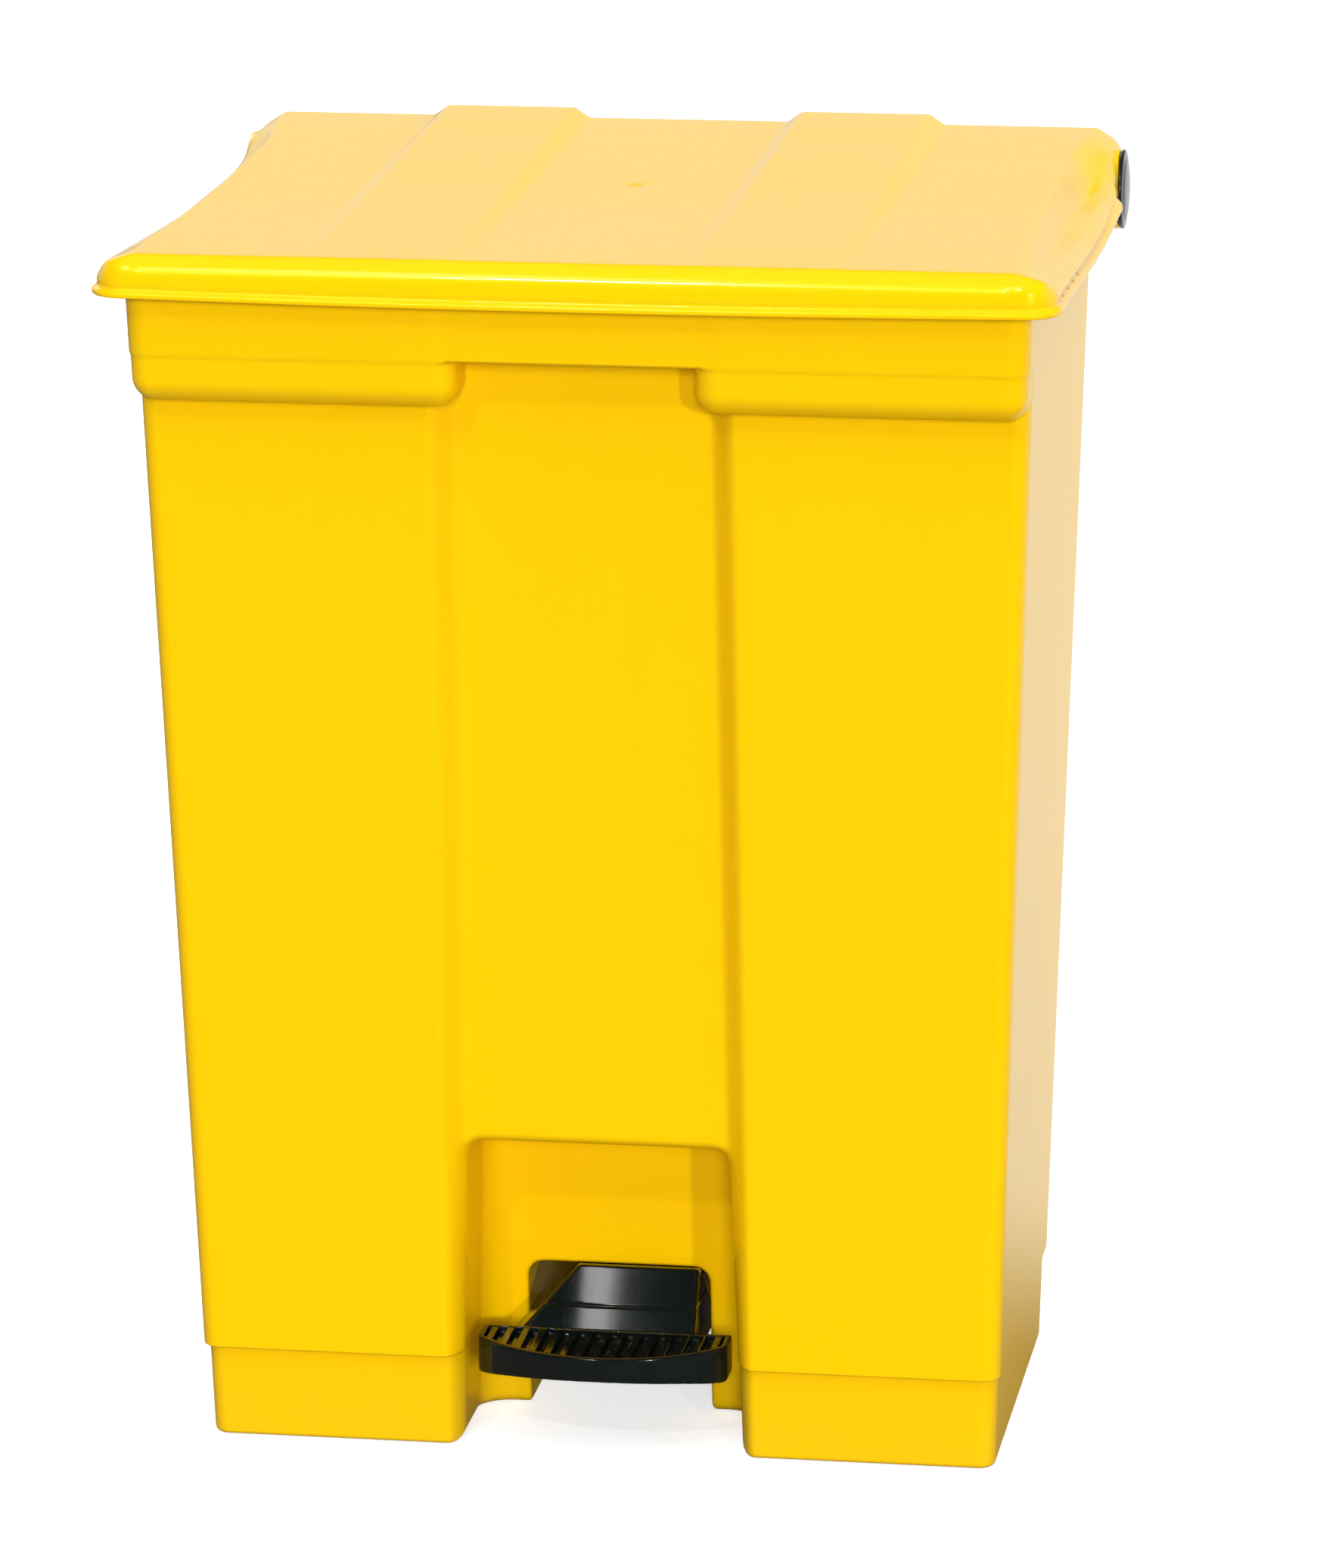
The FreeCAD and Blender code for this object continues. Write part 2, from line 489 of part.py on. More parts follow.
# guides on the tub's rear wall
for label, gz in (("rod_guide_upper", 560.0), ("rod_guide_lower", 150.0)):
    yw = lin("rear_base", "rear_top", gz + 12.0)
    g = wedge(label + "_block", gz, gz + 12.0, 10, 10, ry(str(gz)), ry(str(gz + 12.0)), V["rod_y"] + 8, V["rod_y"] + 8)
    gb = cyl_z(label + "_bore", "Sizes.rod_r + 0.08", 0, S("rod_y"), gz - 5, gz + 20)
    node(cut(label + "_cut", g, gb), label)

# ------------------------------------------------------------ rear rod cover
ct, ch, cb, cw = S("rod_cover_top"), S("rod_cover_half"), S("rod_cover_back"), S("rod_cover_wall")
cz0 = "6"
co = wedge("cover_outer", cz0, ct, ch, ch, ry(cz0), ry(ct), cb, cb)
cf = wedge("cover_flange", cz0, ct, ch + " + 14", ch + " + 14", ry(cz0), ry(ct), ry(cz0) + " + 3", ry(ct) + " + 3")
ci = wedge("cover_inner", "0", ct + " + 5", ch + " - " + cw, ch + " - " + cw, ry("0") + " - 5", ry(ct + " + 5") + " - 5",
           cb + " - " + cw, cb + " - " + cw)
cof = fillet("cover_rounded", co, [(lambda e: upright(e) and e.CenterOfMass.y > 160, "corner_front")])
ctop = box("cover_roof", "-" + ch + " + 1", ch + " - 1", 140, "Sizes.rod_cover_back - 1", ct + " - 3", ct)
cap_hole = box("cover_roof_hole", -9, 9, V["rod_y"] - 13.5, V["rod_y"] + 13.5, 500, 700)
rear_wall_tool = wedge("cover_wall_tool", "-10", "660", 60, 60, ry("-10") + " - 60", ry("660") + " - 60", ry("-10"), ry("660"))
cover_u = cut("cover_u", fuse("cover_shell_raw", cof, cf), ci)
cover_t = cut("cover_t", ctop, fuse("cover_tools", cap_hole, rear_wall_tool))
node(fuse("cover_all", cover_u, cover_t), "rod_cover")
cs = []
k = 0
for z in (40.0, 220.0, 400.0, 570.0):
    for sx in (-1, 1):
        yw = lin("rear_base", "rear_top", z) + 3.0
        cs.append(cyl_y("cover_screw_%d" % k, 3.6, sx * 31.0, yw + 0.2, yw + 2.6, z))
        k += 1
node(doc.addObject("Part::Compound", "cover_screws_all"), "rod_cover_screws").Links = cs

# -------------------------------------------------- pivot bracket in tunnel
roof = V["tunnel_top"]
pl = box("pivot_plate", -30, 30, py - 22, py + 22, roof - 3, roof)
pa = box("pivot_ear_a", -30, -27, py - 14, py + 14, pz - 9, roof - 2)
pb = box("pivot_ear_b", 27, 30, py - 14, py + 14, pz - 9, roof - 2)
ph = cyl_x("pivot_bracket_bore", S("axle_r"), -40, 40, py, pz)
node(cut("pivot_bracket_cut", fuse("pivot_bracket_raw", pl, pa, pb), ph), "pivot_bracket")
node(cyl_x("axle_bar", S("axle_r"), -36, 36, py, pz), "pivot_axle")
clips = []
for i, sx in enumerate((-1, 1)):
    x0 = 31.0 if sx > 0 else -32.5
    ring = cyl_x("clip_disc_%d" % i, 8.5, x0, x0 + 1.5, py, pz)
    hole = cyl_x("clip_hole_%d" % i, S("axle_r"), x0 - 1, x0 + 3, py, pz)
    clips.append(cut("clip_%d" % i, ring, hole))
node(doc.addObject("Part::Compound", "axle_clips_all"), "axle_clips").Links = clips
ps = []
for i, (x, y) in enumerate(((-20, py - 16), (20, py - 16), (-20, py + 16), (20, py + 16))):
    ps.append(cyl_z("pivot_screw_%d" % i, 3.8, x, y, roof - 5.4, roof - 3))
node(doc.addObject("Part::Compound", "pivot_screws_all"), "pivot_bracket_screws").Links = ps
# rubber stop under the tunnel roof for the rear of the lever
node(box("stop_pad", -9, 9, 84, 98, roof - 4.0, roof), "pedal_stop")

# -------------------------------------------------------------- the pedal
# tread: a D-shaped plate with a curved front edge
ped = doc.addObject("PartDesign::Body", "tread_body")
sk = ped.newObject("Sketcher::SketchObject", "tread_outline")
plane = [f for f in ped.Origin.OriginFeatures if getattr(f, "Role", "") == "XY_Plane"][0]
sk.AttachmentSupport = [(plane, "")]
sk.MapMode = "FlatFace"
ph_, sy, fyy, ryy = V["pedal_half"], V["pedal_side_y"], V["pedal_front_y"], V["pedal_rear_y"]
sag = sy - fyy
rad = (ph_ * ph_ + sag * sag) / (2 * sag)
cy = fyy + rad
a0 = math.atan2(sy - cy, -ph_)
a1 = math.atan2(sy - cy, ph_)
sk.addGeometry(Part.ArcOfCircle(Part.Circle(Vector(0, cy, 0), Vector(0, 0, 1), rad), a0, a1), False)
sk.addGeometry(Part.LineSegment(Vector(ph_, sy, 0), Vector(ph_, ryy, 0)), False)
sk.addGeometry(Part.LineSegment(Vector(ph_, ryy, 0), Vector(-ph_, ryy, 0)), False)
sk.addGeometry(Part.LineSegment(Vector(-ph_, ryy, 0), Vector(-ph_, sy, 0)), False)
sk.addConstraint(Sketcher.Constraint("Coincident", 0, 2, 1, 1))
sk.addConstraint(Sketcher.Constraint("Coincident", 1, 2, 2, 1))
sk.addConstraint(Sketcher.Constraint("Coincident", 2, 2, 3, 1))
sk.addConstraint(Sketcher.Constraint("Coincident", 3, 2, 0, 1))
sk.addConstraint(Sketcher.Constraint("Vertical", 1))
sk.addConstraint(Sketcher.Constraint("Horizontal", 2))
sk.addConstraint(Sketcher.Constraint("Vertical", 3))
sk.addConstraint(Sketcher.Constraint("DistanceX", -1, 1, 1, 2, ph_))
sk.setExpression("Constraints[%d]" % (sk.ConstraintCount - 1), S("pedal_half"))
doc.recompute()
pad = ped.newObject("PartDesign::Pad", "tread_pad")
pad.Profile = sk
pad.Type = 0
pad.Length = V["pedal_thick"]
pad.setExpression("Length", S("pedal_thick"))
ped.Tip = pad
doc.recompute()
ped.Placement = Placement(Vector(0, 0, V["pedal_top"] - V["pedal_thick"]), Rotation())
# hollow under the tread, leaving a rim
under = wedge("tread_under", V["pedal_top"] - V["pedal_thick"] - 1, V["pedal_top"] - 5, V["pedal_half"] - 6, V["pedal_half"] - 6,
              V["pedal_side_y"] - 4, V["pedal_side_y"] - 4, V["pedal_rear_y"] - 4, V["pedal_rear_y"] - 4)
# neck: rises from the rear of the tread and narrows towards the lever
npts = []


def neck_section(y, half_b, half_t, z0, z1):
    pts = [Vector(-half_b, y, z0), Vector(half_b, y, z0), Vector(half_t, y, z1), Vector(-half_t, y, z1)]
    return Part.makePolygon(pts + [pts[0]])


nl, nh, nt = V["neck_half_low"], V["neck_half_high"], V["neck_top"]
pt_, pth = V["pedal_top"], V["pedal_thick"]
secs = [neck_section(ryy - 4.0, nl, nl - 2.0, pt_ - pth + 2.0, pt_ - 1.0),
        neck_section(ryy + 12.0, nl - 8.0, nh + 12.0, pt_ - 13.0, pt_ + 4.0),
        neck_section(ryy + 32.0, nl - 18.0, nh + 3.0, pt_ - 9.0, nt - 5.0),
        neck_section(V["neck_rear_y"], nh + 4.0, nh, pt_ - 8.0, nt)]
neck_shape = Part.makeLoft(secs, True, True)
neck = doc.addObject("Part::Feature", "neck_loft")
neck.Shape = neck_shape
neck.Placement = Placement()
tread_cut = cut("tread_hollow", ped, under)
ribs = []
n_rib = 15
for i in range(n_rib):
    x = -ph_ + 7.0 + i * (2 * ph_ - 14.0) / (n_rib - 1)
    yf = cy - math.sqrt(rad * rad - x * x) + 5.0
    ribs.append(box("tread_rib_%d" % i, x - 1.3, x + 1.3, yf, ryy - 3.0, pt_ - 0.5, pt_ + 1.5))
arm_pocket = box("arm_pocket", -V["arm_half"], V["arm_half"], -96, 20, 40, nt - 8)
pedal_raw = fuse("pedal_raw", tread_cut, neck, *ribs)
node(cut("pedal_cut", pedal_raw, arm_pocket), "pedal")

# ------------------------------------------------------------ the lever arm
# flat steel bar on edge from inside the neck, over the axle, to the rod's foot
ah = V["arm_half"]
yb = V["rod_y"]


def plate_profile(points):
    wire = Part.makePolygon([Vector(-ah + 0.0, y, z) for y, z in points] + [Vector(-ah, points[0][0], points[0][1])])
    return Part.Face(wire).extrude(Vector(2 * ah, 0, 0))


prof = [(-95.5, 52.0), (-95.5, 60.0), (-60.0, nt - 8.0), (-20.0, nt - 8.0), (py + 12, pz + 11.0),
        (120.0, foot_z + 12.0), (yb - 14.0, foot_z + 8.0), (yb - 14.0, foot_z - 6.0), (120.0, foot_z - 6.0),
        (py + 10, pz - 12.0), (py - 14, pz - 12.0), (-42.0, 52.0)]
bar = plate_profile(prof)
hollow = [(-80.0, 54.5), (-60.0, nt - 10.5), (-20.0, nt - 10.5), (py + 11.5, pz + 8.5), (120.0, foot_z + 9.4),
          (yb - 10.0, foot_z + 5.2), (yb - 10.0, foot_z - 20.0), (py, pz - 30.0), (-38.0, 40.0), (-38.0, 54.5)]
wire = Part.makePolygon([Vector(-ah + 2.5, y, z) for y, z in hollow] + [Vector(-ah + 2.5, hollow[0][0], hollow[0][1])])
bar = bar.cut(Part.Face(wire).extrude(Vector(2 * (ah - 2.5), 0, 0)))
tongue = Part.makeBox(12.0, 36.0, 12.0, Vector(-6.0, yb - 30.5, foot_z - 6.0))
root = Part.makeBox(17.4, 14.0, 15.0, Vector(-8.7, yb - 30.5, foot_z - 6.0))
arm_shape = bar.fuse([tongue, root])
arm_shape = arm_shape.cut(Part.makeCylinder(8.0, 60, Vector(-30, py, pz), Vector(1, 0, 0)))
arm_shape = arm_shape.cut(Part.makeCylinder(V["link_pin_r"], 60, Vector(-30, yb, foot_z), Vector(1, 0, 0)))
arm = doc.addObject("Part::Feature", "arm_bar")
arm.Shape = arm_shape.removeSplitter()
arm.Placement = Placement()
node(arm, "lever_arm")
# flanged plastic bush that runs on the axle
bush = fuse("bush_raw", cyl_x("bush_tube", 8.0, -24, 24, py, pz),
            cyl_x("bush_flange_a", 11.0, -26, -24, py, pz), cyl_x("bush_flange_b", 11.0, 24, 26, py, pz))
node(cut("bush_cut", bush, cyl_x("bush_bore", "Sizes.axle_r + Sizes.axle_gap", -40, 40, py, pz)), "lever_bush")
node(cyl_x("lever_end_pin", S("link_pin_r"), -13.5, 13.5, yb, foot_z), "lever_pin")
ls = []
for i, y in enumerate((-86.0, -64.0)):
    ls.append(cyl_z("lever_screw_%d" % i, 4.0, 0, y, 49.4, 52.0))
node(doc.addObject("Part::Compound", "lever_screws_all"), "lever_screws").Links = ls
doc.recompute()

# --------------------------------------------------------------- checking
bad = []
for o in doc.Objects:
    if any(s in ("Invalid", "Error") for s in o.State):
        bad.append("%s: %s" % (o.Name, o.State))
for label, obj in NODES:
    shp = obj.Shape
    if shp.isNull() or not shp.isValid() or shp.Volume <= 0:
        bad.append("node %s: null, invalid or empty" % label)
if bad:
    raise RuntimeError("; ".join(bad))

os.makedirs("parts", exist_ok=True)
for label, obj in NODES:
    shp = obj.Shape.copy()
    shp.exportStep(os.path.join("parts", label + ".step"))
    bb = shp.BoundBox
    print("%-24s solids %2d  vol %10.1f  x %7.1f %7.1f  y %7.1f %7.1f  z %7.1f %7.1f" % (
        label, len(shp.Solids), shp.Volume, bb.XMin, bb.XMax, bb.YMin, bb.YMax, bb.ZMin, bb.ZMax))
print("link pin", link_y, link_z, "rise", rise, "foot", foot_z)
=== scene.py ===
import bpy
import json
import math
import numpy as np
from mathutils import Matrix, Vector


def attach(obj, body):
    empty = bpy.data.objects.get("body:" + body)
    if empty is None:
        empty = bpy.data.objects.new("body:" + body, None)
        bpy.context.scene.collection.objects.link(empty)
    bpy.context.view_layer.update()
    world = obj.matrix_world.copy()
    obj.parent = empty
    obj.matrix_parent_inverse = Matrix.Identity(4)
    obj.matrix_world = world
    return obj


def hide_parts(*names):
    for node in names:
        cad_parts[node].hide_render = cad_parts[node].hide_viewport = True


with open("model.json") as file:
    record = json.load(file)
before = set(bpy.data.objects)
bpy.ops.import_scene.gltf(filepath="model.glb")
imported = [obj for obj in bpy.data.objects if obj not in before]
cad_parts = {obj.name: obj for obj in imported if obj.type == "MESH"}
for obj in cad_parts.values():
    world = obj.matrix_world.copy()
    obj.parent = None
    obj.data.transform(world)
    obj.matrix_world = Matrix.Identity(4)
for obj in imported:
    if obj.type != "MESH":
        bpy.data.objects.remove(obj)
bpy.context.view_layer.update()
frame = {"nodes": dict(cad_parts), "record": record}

NODES = frame["nodes"]

# ============================================================ mesh making
# Moulded pieces are described by distance-like functions in millimetres,
# negative inside, and meshed with one vertex per boundary cell.


def rint(a, b, r):
    """Intersection with a convex edge of radius r."""
    ua, ub = np.maximum(r + a, 0), np.maximum(r + b, 0)
    return np.minimum(-r, np.maximum(a, b)) + np.sqrt(ua * ua + ub * ub)


def runi(a, b, r):
    """Union with a concave fillet of radius r."""
    ua, ub = np.maximum(r - a, 0), np.maximum(r - b, 0)
    return np.maximum(r, np.minimum(a, b)) - np.sqrt(ua * ua + ub * ub)


def rsub(a, b, r):
    return rint(a, -b, r)


def smooth(t):
    t = np.clip(t, 0, 1)
    return t * t * (3 - 2 * t)


def lines(*spans):
    """Grid lines: spans are (start, end, step) joined end to end."""
    out = []
    for a, b, s in spans:
        n = max(1, int(round((b - a) / s)))
        out.extend(np.linspace(a, b, n, endpoint=False))
    out.append(spans[-1][1])
    return np.array(out, float)


def mirrored(*spans):
    half = lines(*spans)
    return np.concatenate([-half[::-1], half[1:]]) if half[0] == 0 else np.concatenate([-half[::-1], half])


def grad(f, p, e=0.25):
    g = np.empty_like(p)
    for k in range(3):
        q = p.copy(); q[:, k] += e
        s = p.copy(); s[:, k] -= e
        g[:, k] = (f(q[:, 0], q[:, 1], q[:, 2]) - f(s[:, 0], s[:, 1], s[:, 2])) / (2 * e)
    return g


def nets(f, xs, ys, zs, steps=4, step_max=3.0):
    """Vertices, quads and unit normals of the surface f = 0 on a grid."""
    X, Y, Z = np.meshgrid(xs, ys, zs, indexing="ij")
    F = f(X.ravel(), Y.ravel(), Z.ravel()).reshape(X.shape)
    F[F == 0] = 1e-6
    n = np.array(F.shape) - 1
    acc = np.zeros((n[0] * n[1] * n[2], 3))
    cnt = np.zeros(n[0] * n[1] * n[2])
    grid = (xs, ys, zs)
    edges = []
    for ax in range(3):
        a = np.take(F, range(0, F.shape[ax] - 1), axis=ax)
        b = np.take(F, range(1, F.shape[ax]), axis=ax)
        idx = np.argwhere((a < 0) != (b < 0))
        va, vb = a[tuple(idx.T)], b[tuple(idx.T)]
        t = va / (va - vb)
        pos = np.stack([grid[k][idx[:, k]] for k in range(3)], axis=1).astype(float)
        pos[:, ax] += t * (grid[ax][idx[:, ax] + 1] - grid[ax][idx[:, ax]])
        o1, o2 = [k for k in range(3) if k != ax]
        cells = []
        for d1, d2 in ((0, 0), (-1, 0), (-1, -1), (0, -1)):
            c = idx.copy()
            c[:, o1] += d1
            c[:, o2] += d2
            ok = np.all((c >= 0) & (c < n), axis=1)
            lin = np.where(ok, (c[:, 0] * n[1] + c[:, 1]) * n[2] + c[:, 2], -1)
            good = lin >= 0
            cnt += np.bincount(lin[good], minlength=cnt.size)
            for k in range(3):
                acc[:, k] += np.bincount(lin[good], weights=pos[good, k], minlength=cnt.size)
            cells.append(lin)
        cells = np.stack(cells, axis=1)
        keep = np.all(cells >= 0, axis=1)
        cells, inside = cells[keep], (va[keep] < 0)
        flip = inside if ax != 1 else ~inside
        cells[~flip] = cells[~flip][:, ::-1]
        edges.append(cells)
    quads = np.concatenate(edges)
    used = np.unique(quads)
    remap = np.full(cnt.size, -1)
    remap[used] = np.arange(used.size)
    quads = remap[quads]
    p = acc[used] / cnt[used][:, None]
    for _ in range(steps):
        v = f(p[:, 0], p[:, 1], p[:, 2])
        g = grad(f, p)
        m = np.maximum((g * g).sum(1), 0.05)
        d = -(v / m)[:, None] * g
        size = np.sqrt((d * d).sum(1))
        d *= np.minimum(1.0, step_max / np.maximum(size, 1e-9))[:, None]
        p = p + d * 0.9
    g = grad(f, p, 0.4)
    g /= np.maximum(np.sqrt((g * g).sum(1)), 1e-9)[:, None]
    return p, quads, g


def build(name, verts, quads, normals=None):
    """Mesh object in metres from millimetre vertices."""
    me = bpy.data.meshes.new(name)
    me.vertices.add(len(verts))
    me.vertices.foreach_set("co", (np.asarray(verts, np.float32) / 1000.0).ravel())
    k = quads.shape[1]
    me.loops.add(quads.size)
    me.loops.foreach_set("vertex_index", quads.astype(np.int32).ravel())
    me.polygons.add(len(quads))
    me.polygons.foreach_set("loop_start", np.arange(0, quads.size, k, dtype=np.int32))
    me.update(calc_edges=True)
    me.validate()
    me.polygons.foreach_set("use_smooth", np.ones(len(me.polygons), bool))
    if normals is not None and len(normals) == len(me.vertices):
        me.normals_split_custom_set_from_vertices([tuple(v) for v in normals])
    me.update()
    ob = bpy.data.objects.new(name, me)
    bpy.context.scene.collection.objects.link(ob)
    return ob


def lathe(name, profile, axis_at, along, seg=96):
    """Turned piece: profile is (distance along the axis, radius) in mm."""
    verts, quads = [], []
    prof = [(a, max(r, 0.0)) for a, r in profile]
    for i in range(seg):
        t = 2 * math.pi * i / seg
        for a, r in prof:
            verts.append((axis_at[0] + along * a, axis_at[1] + r * math.cos(t), axis_at[2] + r * math.sin(t)))
    m = len(prof)
    for i in range(seg):
        j = (i + 1) % seg
        for k in range(m - 1):
            q = (i * m + k, i * m + k + 1, j * m + k + 1, j * m + k)
            quads.append(q if along > 0 else q[::-1])
    return verts, np.array(quads)


# ============================================================ the tub
HW0, HWK = 215.1, 0.03094
FY0, FYK = -144.9, -0.04156
RY0, RYK = 113.1, 0.04953
WALL = 4.0
HAND_TOP, COLLAR_Z, COLLAR_OUT = 606.5, 581.0, 19.8


def tub_walls(x, y, z):
    ax = np.abs(x)
    p = 1 - smooth((z - 50.6) / 2.2)
    a = ax - (HW0 + HWK * z - 1.9 * p)
    fy = FY0 + FYK * z
    # sunk centre panel with soft flanks
    x0 = 65.0 + 0.009 * (580.0 - z)
    x1 = 81.0 + 0.006 * (580.0 - z)
    dep = 12.5 * (1 - smooth((ax - x0) / (x1 - x0)))
    dep = dep * (1 - smooth((z - 612.0) / 6.0))
    b = (fy + 5.6 * p * smooth((ax - 60) / 20.0) + dep) - y
    c = y - (RY0 + RYK * z - 1.9 * p)
    return ax, a, b, c, fy


def tub_outer(x, y, z):
    """Outside of the tub without its top plane."""
    ax, a, b, c, fy = tub_walls(x, y, z)
    rear = rint(a, c, 32.0)
    body = rint(rear, b / 1.15, 9.0)
    # collar in two blocks beside the hand hold and a slab above it
    bc = (fy - COLLAR_OUT) - y
    back = y - (fy + 34.0)
    side = rint(a, bc, 11.0)
    block = rint(rint(62.0 - ax, side, 12.5), COLLAR_Z - z, 12.0)
    slab = rint(side, HAND_TOP - z, 1.0)
    collar = np.maximum(runi(block, slab, 2.5), back)
    out = runi(body, collar, 2.5)
    out = rint(out, 0.3 - z, 2.4)
    # toe space and pedal tunnel
    ta = ax - (76.0 - 0.0303 * z)
    ty = y - (-68.0 - 0.0686 * z)
    toe = rint(rint(ta, ty, 17.0), z - 172.0, 9.0)
    out = rsub(out, toe, 6.0)
    tun = rint(rint(ax - 50.0, z - 84.5, 9.0), y - 105.0, 4.0)
    tun = np.maximum(tun, -110.0 - y)
    out = rsub(out, tun, 2.5)
    return out


def tub_shell(x, y, z):
    o = tub_outer(x, y, z)
    cav = o + WALL
    f = rint(rint(o, z - 640.0, 1.6), -cav, 1.2)
    # slot for the lever in the rear wall
    slot = np.maximum(np.maximum(np.abs(x) - 15.0, z - 84.5), 98.0 - y)
    f = rsub(f, slot, 1.0)
    # hinge ears
    ax = np.abs(x)
    r = np.sqrt((y - 177.0) ** 2 + (z - 637.0) ** 2)
    ear = rint(np.abs(ax - 211.5) - 13.5, r - 17.0, 2.0)
    web = rint(rint(np.abs(ax - 207.0) - 12.0, np.abs(z - 630.0) - 10.0, 2.0), y - 177.0, 1.0)
    web = np.maximum(web, -(y - (RY0 + RYK * z - 3.0)))
    rib = rint(np.abs(ax - 211.5) - 2.2, np.maximum((y - 162.0) + (600.0 - z) * 0.75, z - 626.0), 1.0)
    rib = np.maximum(rib, -(y - (RY0 + RYK * z - 3.0)))
    ears = runi(runi(ear, web, 3.0), rib, 2.0)
    ears = np.maximum(ears, 7.0 - r)
    f = runi(f, ears, 2.5)
    return np.maximum(f, 7.0 - np.where(ax > 196.0, r, 99.0))


tub_v, tub_q, tub_n = nets(
    tub_shell,
    mirrored((0, 12, 3.0), (12, 18, 1.5), (18, 44, 6.5), (44, 86, 1.5), (86, 194, 12.0), (194, 240, 1.5)),
    lines((-196, -126, 1.5), (-126, -98, 4.0), (-98, -58, 1.6), (-58, 76, 10.0), (76, 150, 1.6), (150, 198, 2.4)),
    lines((-0.6, 18, 1.4), (18, 46, 4.0), (46, 56, 0.8), (56, 76, 3.6), (76, 92, 1.4), (92, 166, 8.0), (166, 184, 1.4),
          (184, 560, 12.0), (560, 616, 1.4), (616, 644, 1.4), (644, 657, 2.2)))
tub = build("tub_moulding", tub_v, tub_q, tub_n)

# ============================================================ the lid
# Height of the top skin: a flat panel that climbs to the rear, a valley, a
# flared side flange and raised hinge corners; two wide ribs fade to the front.
LX = np.arange(0.0, 256.0, 0.5)
LY = np.arange(-212.0, 213.0, 1.5)
ST = [
    # y, panel half, top, valley x, z, shoulder x, z, edge z, rib height
    (-212.0, 229.0, 658.6, 236.5, 657.2, 243.2, 655.2, 646.4, 0.0),
    (-206.0, 229.0, 659.7, 236.5, 658.2, 243.2, 655.8, 646.6, 0.0),
    (-198.0, 229.0, 660.6, 236.3, 658.9, 243.2, 656.3, 646.8, 0.1),
    (-187.0, 229.0, 661.0, 236.0, 658.8, 243.0, 656.2, 646.4, 0.15),
    (-150.0, 228.0, 661.4, 234.8, 656.0, 242.9, 654.0, 645.0, 0.7),
    (-105.0, 226.2, 661.6, 233.8, 652.6, 243.1, 651.5, 643.4, 1.5),
    (-50.0, 224.4, 662.0, 232.8, 649.0, 243.2, 648.5, 641.6, 2.3),
    (0.0, 223.2, 662.9, 232.2, 646.2, 243.2, 645.9, 640.2, 3.0),
    (50.0, 222.9, 664.2, 232.2, 646.6, 243.2, 646.4, 639.6, 3.7),
    (88.0, 223.0, 665.0, 232.8, 646.0, 243.3, 645.8, 639.4, 4.3),
    (100.0, 223.1, 665.3, 233.6, 646.4, 243.3, 645.6, 639.4, 4.4),
    (112.0, 223.3, 665.5, 234.4, 648.6, 243.4, 645.6, 639.4, 4.6),
    (128.0, 224.0, 665.9, 236.2, 652.0, 243.6, 645.8, 639.4, 4.8),
    (142.0, 225.4, 666.3, 238.2, 655.0, 243.9, 647.0, 639.6, 5.0),
    (152.0, 226.6, 666.6, 239.4, 657.0, 244.0, 649.6, 640.0, 5.2),
    (162.0, 227.8, 666.8, 240.2, 658.8, 244.0, 653.0, 640.6, 5.3),
    (175.0, 228.8, 667.0, 240.0, 660.0, 244.0, 656.4, 640.6, 5.5),
    (190.0, 229.5, 667.3, 239.5, 660.8, 243.7, 657.0, 640.6, 5.7),
    (212.0, 229.5, 667.3, 239.5, 660.8, 243.5, 657.0, 640.6, 5.7),
]


def lid_table():
    cols = list(zip(*ST))
    ys = cols[0]
    g = [np.interp(LY, ys, c) for c in cols[1:]]
    H = np.empty((LX.size, LY.size))
    for j in range(LY.size):
        a, top, vx, vz, bx, bz, lip, rise = [c[j] for c in g]
        px = [0, 56, 64, 136, 144, a, vx, bx, 251.0, 256.0]
        pz = [top, top, top + rise, top + rise, top, top, vz, bz, lip, lip - 3.0]
        H[:, j] = np.interp(LX, px, pz)
    # soften along X, then along Y
    def blur(A, sig, axis):
        n = int(3 * sig) + 1
        k = np.exp(-0.5 * (np.arange(-n, n + 1) / sig) ** 2)
        k /= k.sum()
        pad = [(0, 0), (0, 0)]
        pad[axis] = (n, n)
        B = np.pad(A, pad, mode="symmetric" if axis == 0 else "edge")
        return np.apply_along_axis(lambda v: np.convolve(v, k, mode="valid"), axis, B)
    H = blur(H, 1.7, 0)
    H = blur(H, 3.2, 1)
    # gate mark: a shallow dimple on the centre line
    r2 = (LX[:, None]) ** 2 + (LY[None, :] - 14.0) ** 2
    H = H - 0.95 * np.exp(-r2 / (2 * 3.2 ** 2)) + 0.18 * np.exp(-r2 / (2 * 1.3 ** 2))
    return H


LID_H = lid_table()


def look(T, ax, y):
    u = np.clip(ax / 0.5, 0, LX.size - 1.001)
    v = np.clip((y + 212.0) / 1.5, 0, LY.size - 1.001)
    i, j = u.astype(int), v.astype(int)
    s, t = u - i, v - j
    return (T[i, j] * (1 - s) * (1 - t) + T[i + 1, j] * s * (1 - t)
            + T[i, j + 1] * (1 - s) * t + T[i + 1, j + 1] * s * t)


GX, GY = np.gradient(LID_H, 0.5, 1.5)
LID_K = 1.0 / np.sqrt(1 + GX ** 2 + GY ** 2)


def lip_z(y, ax):
    # the front edge sags a little to the middle
    sag = 1.9 * smooth((-186.0 - y) / 14.0) * (1 - np.minimum(ax / 235.0, 1.0) ** 2)
    return np.interp(y, [-212, -190, -170, -150, -100, -54, -27, 20, 60, 95, 140, 212],
                     [638.5, 639.4, 639.5, 638.8, 636.8, 634.8, 633.8, 633.0, 633.6, 635.2, 636.2, 636.5]) - sag


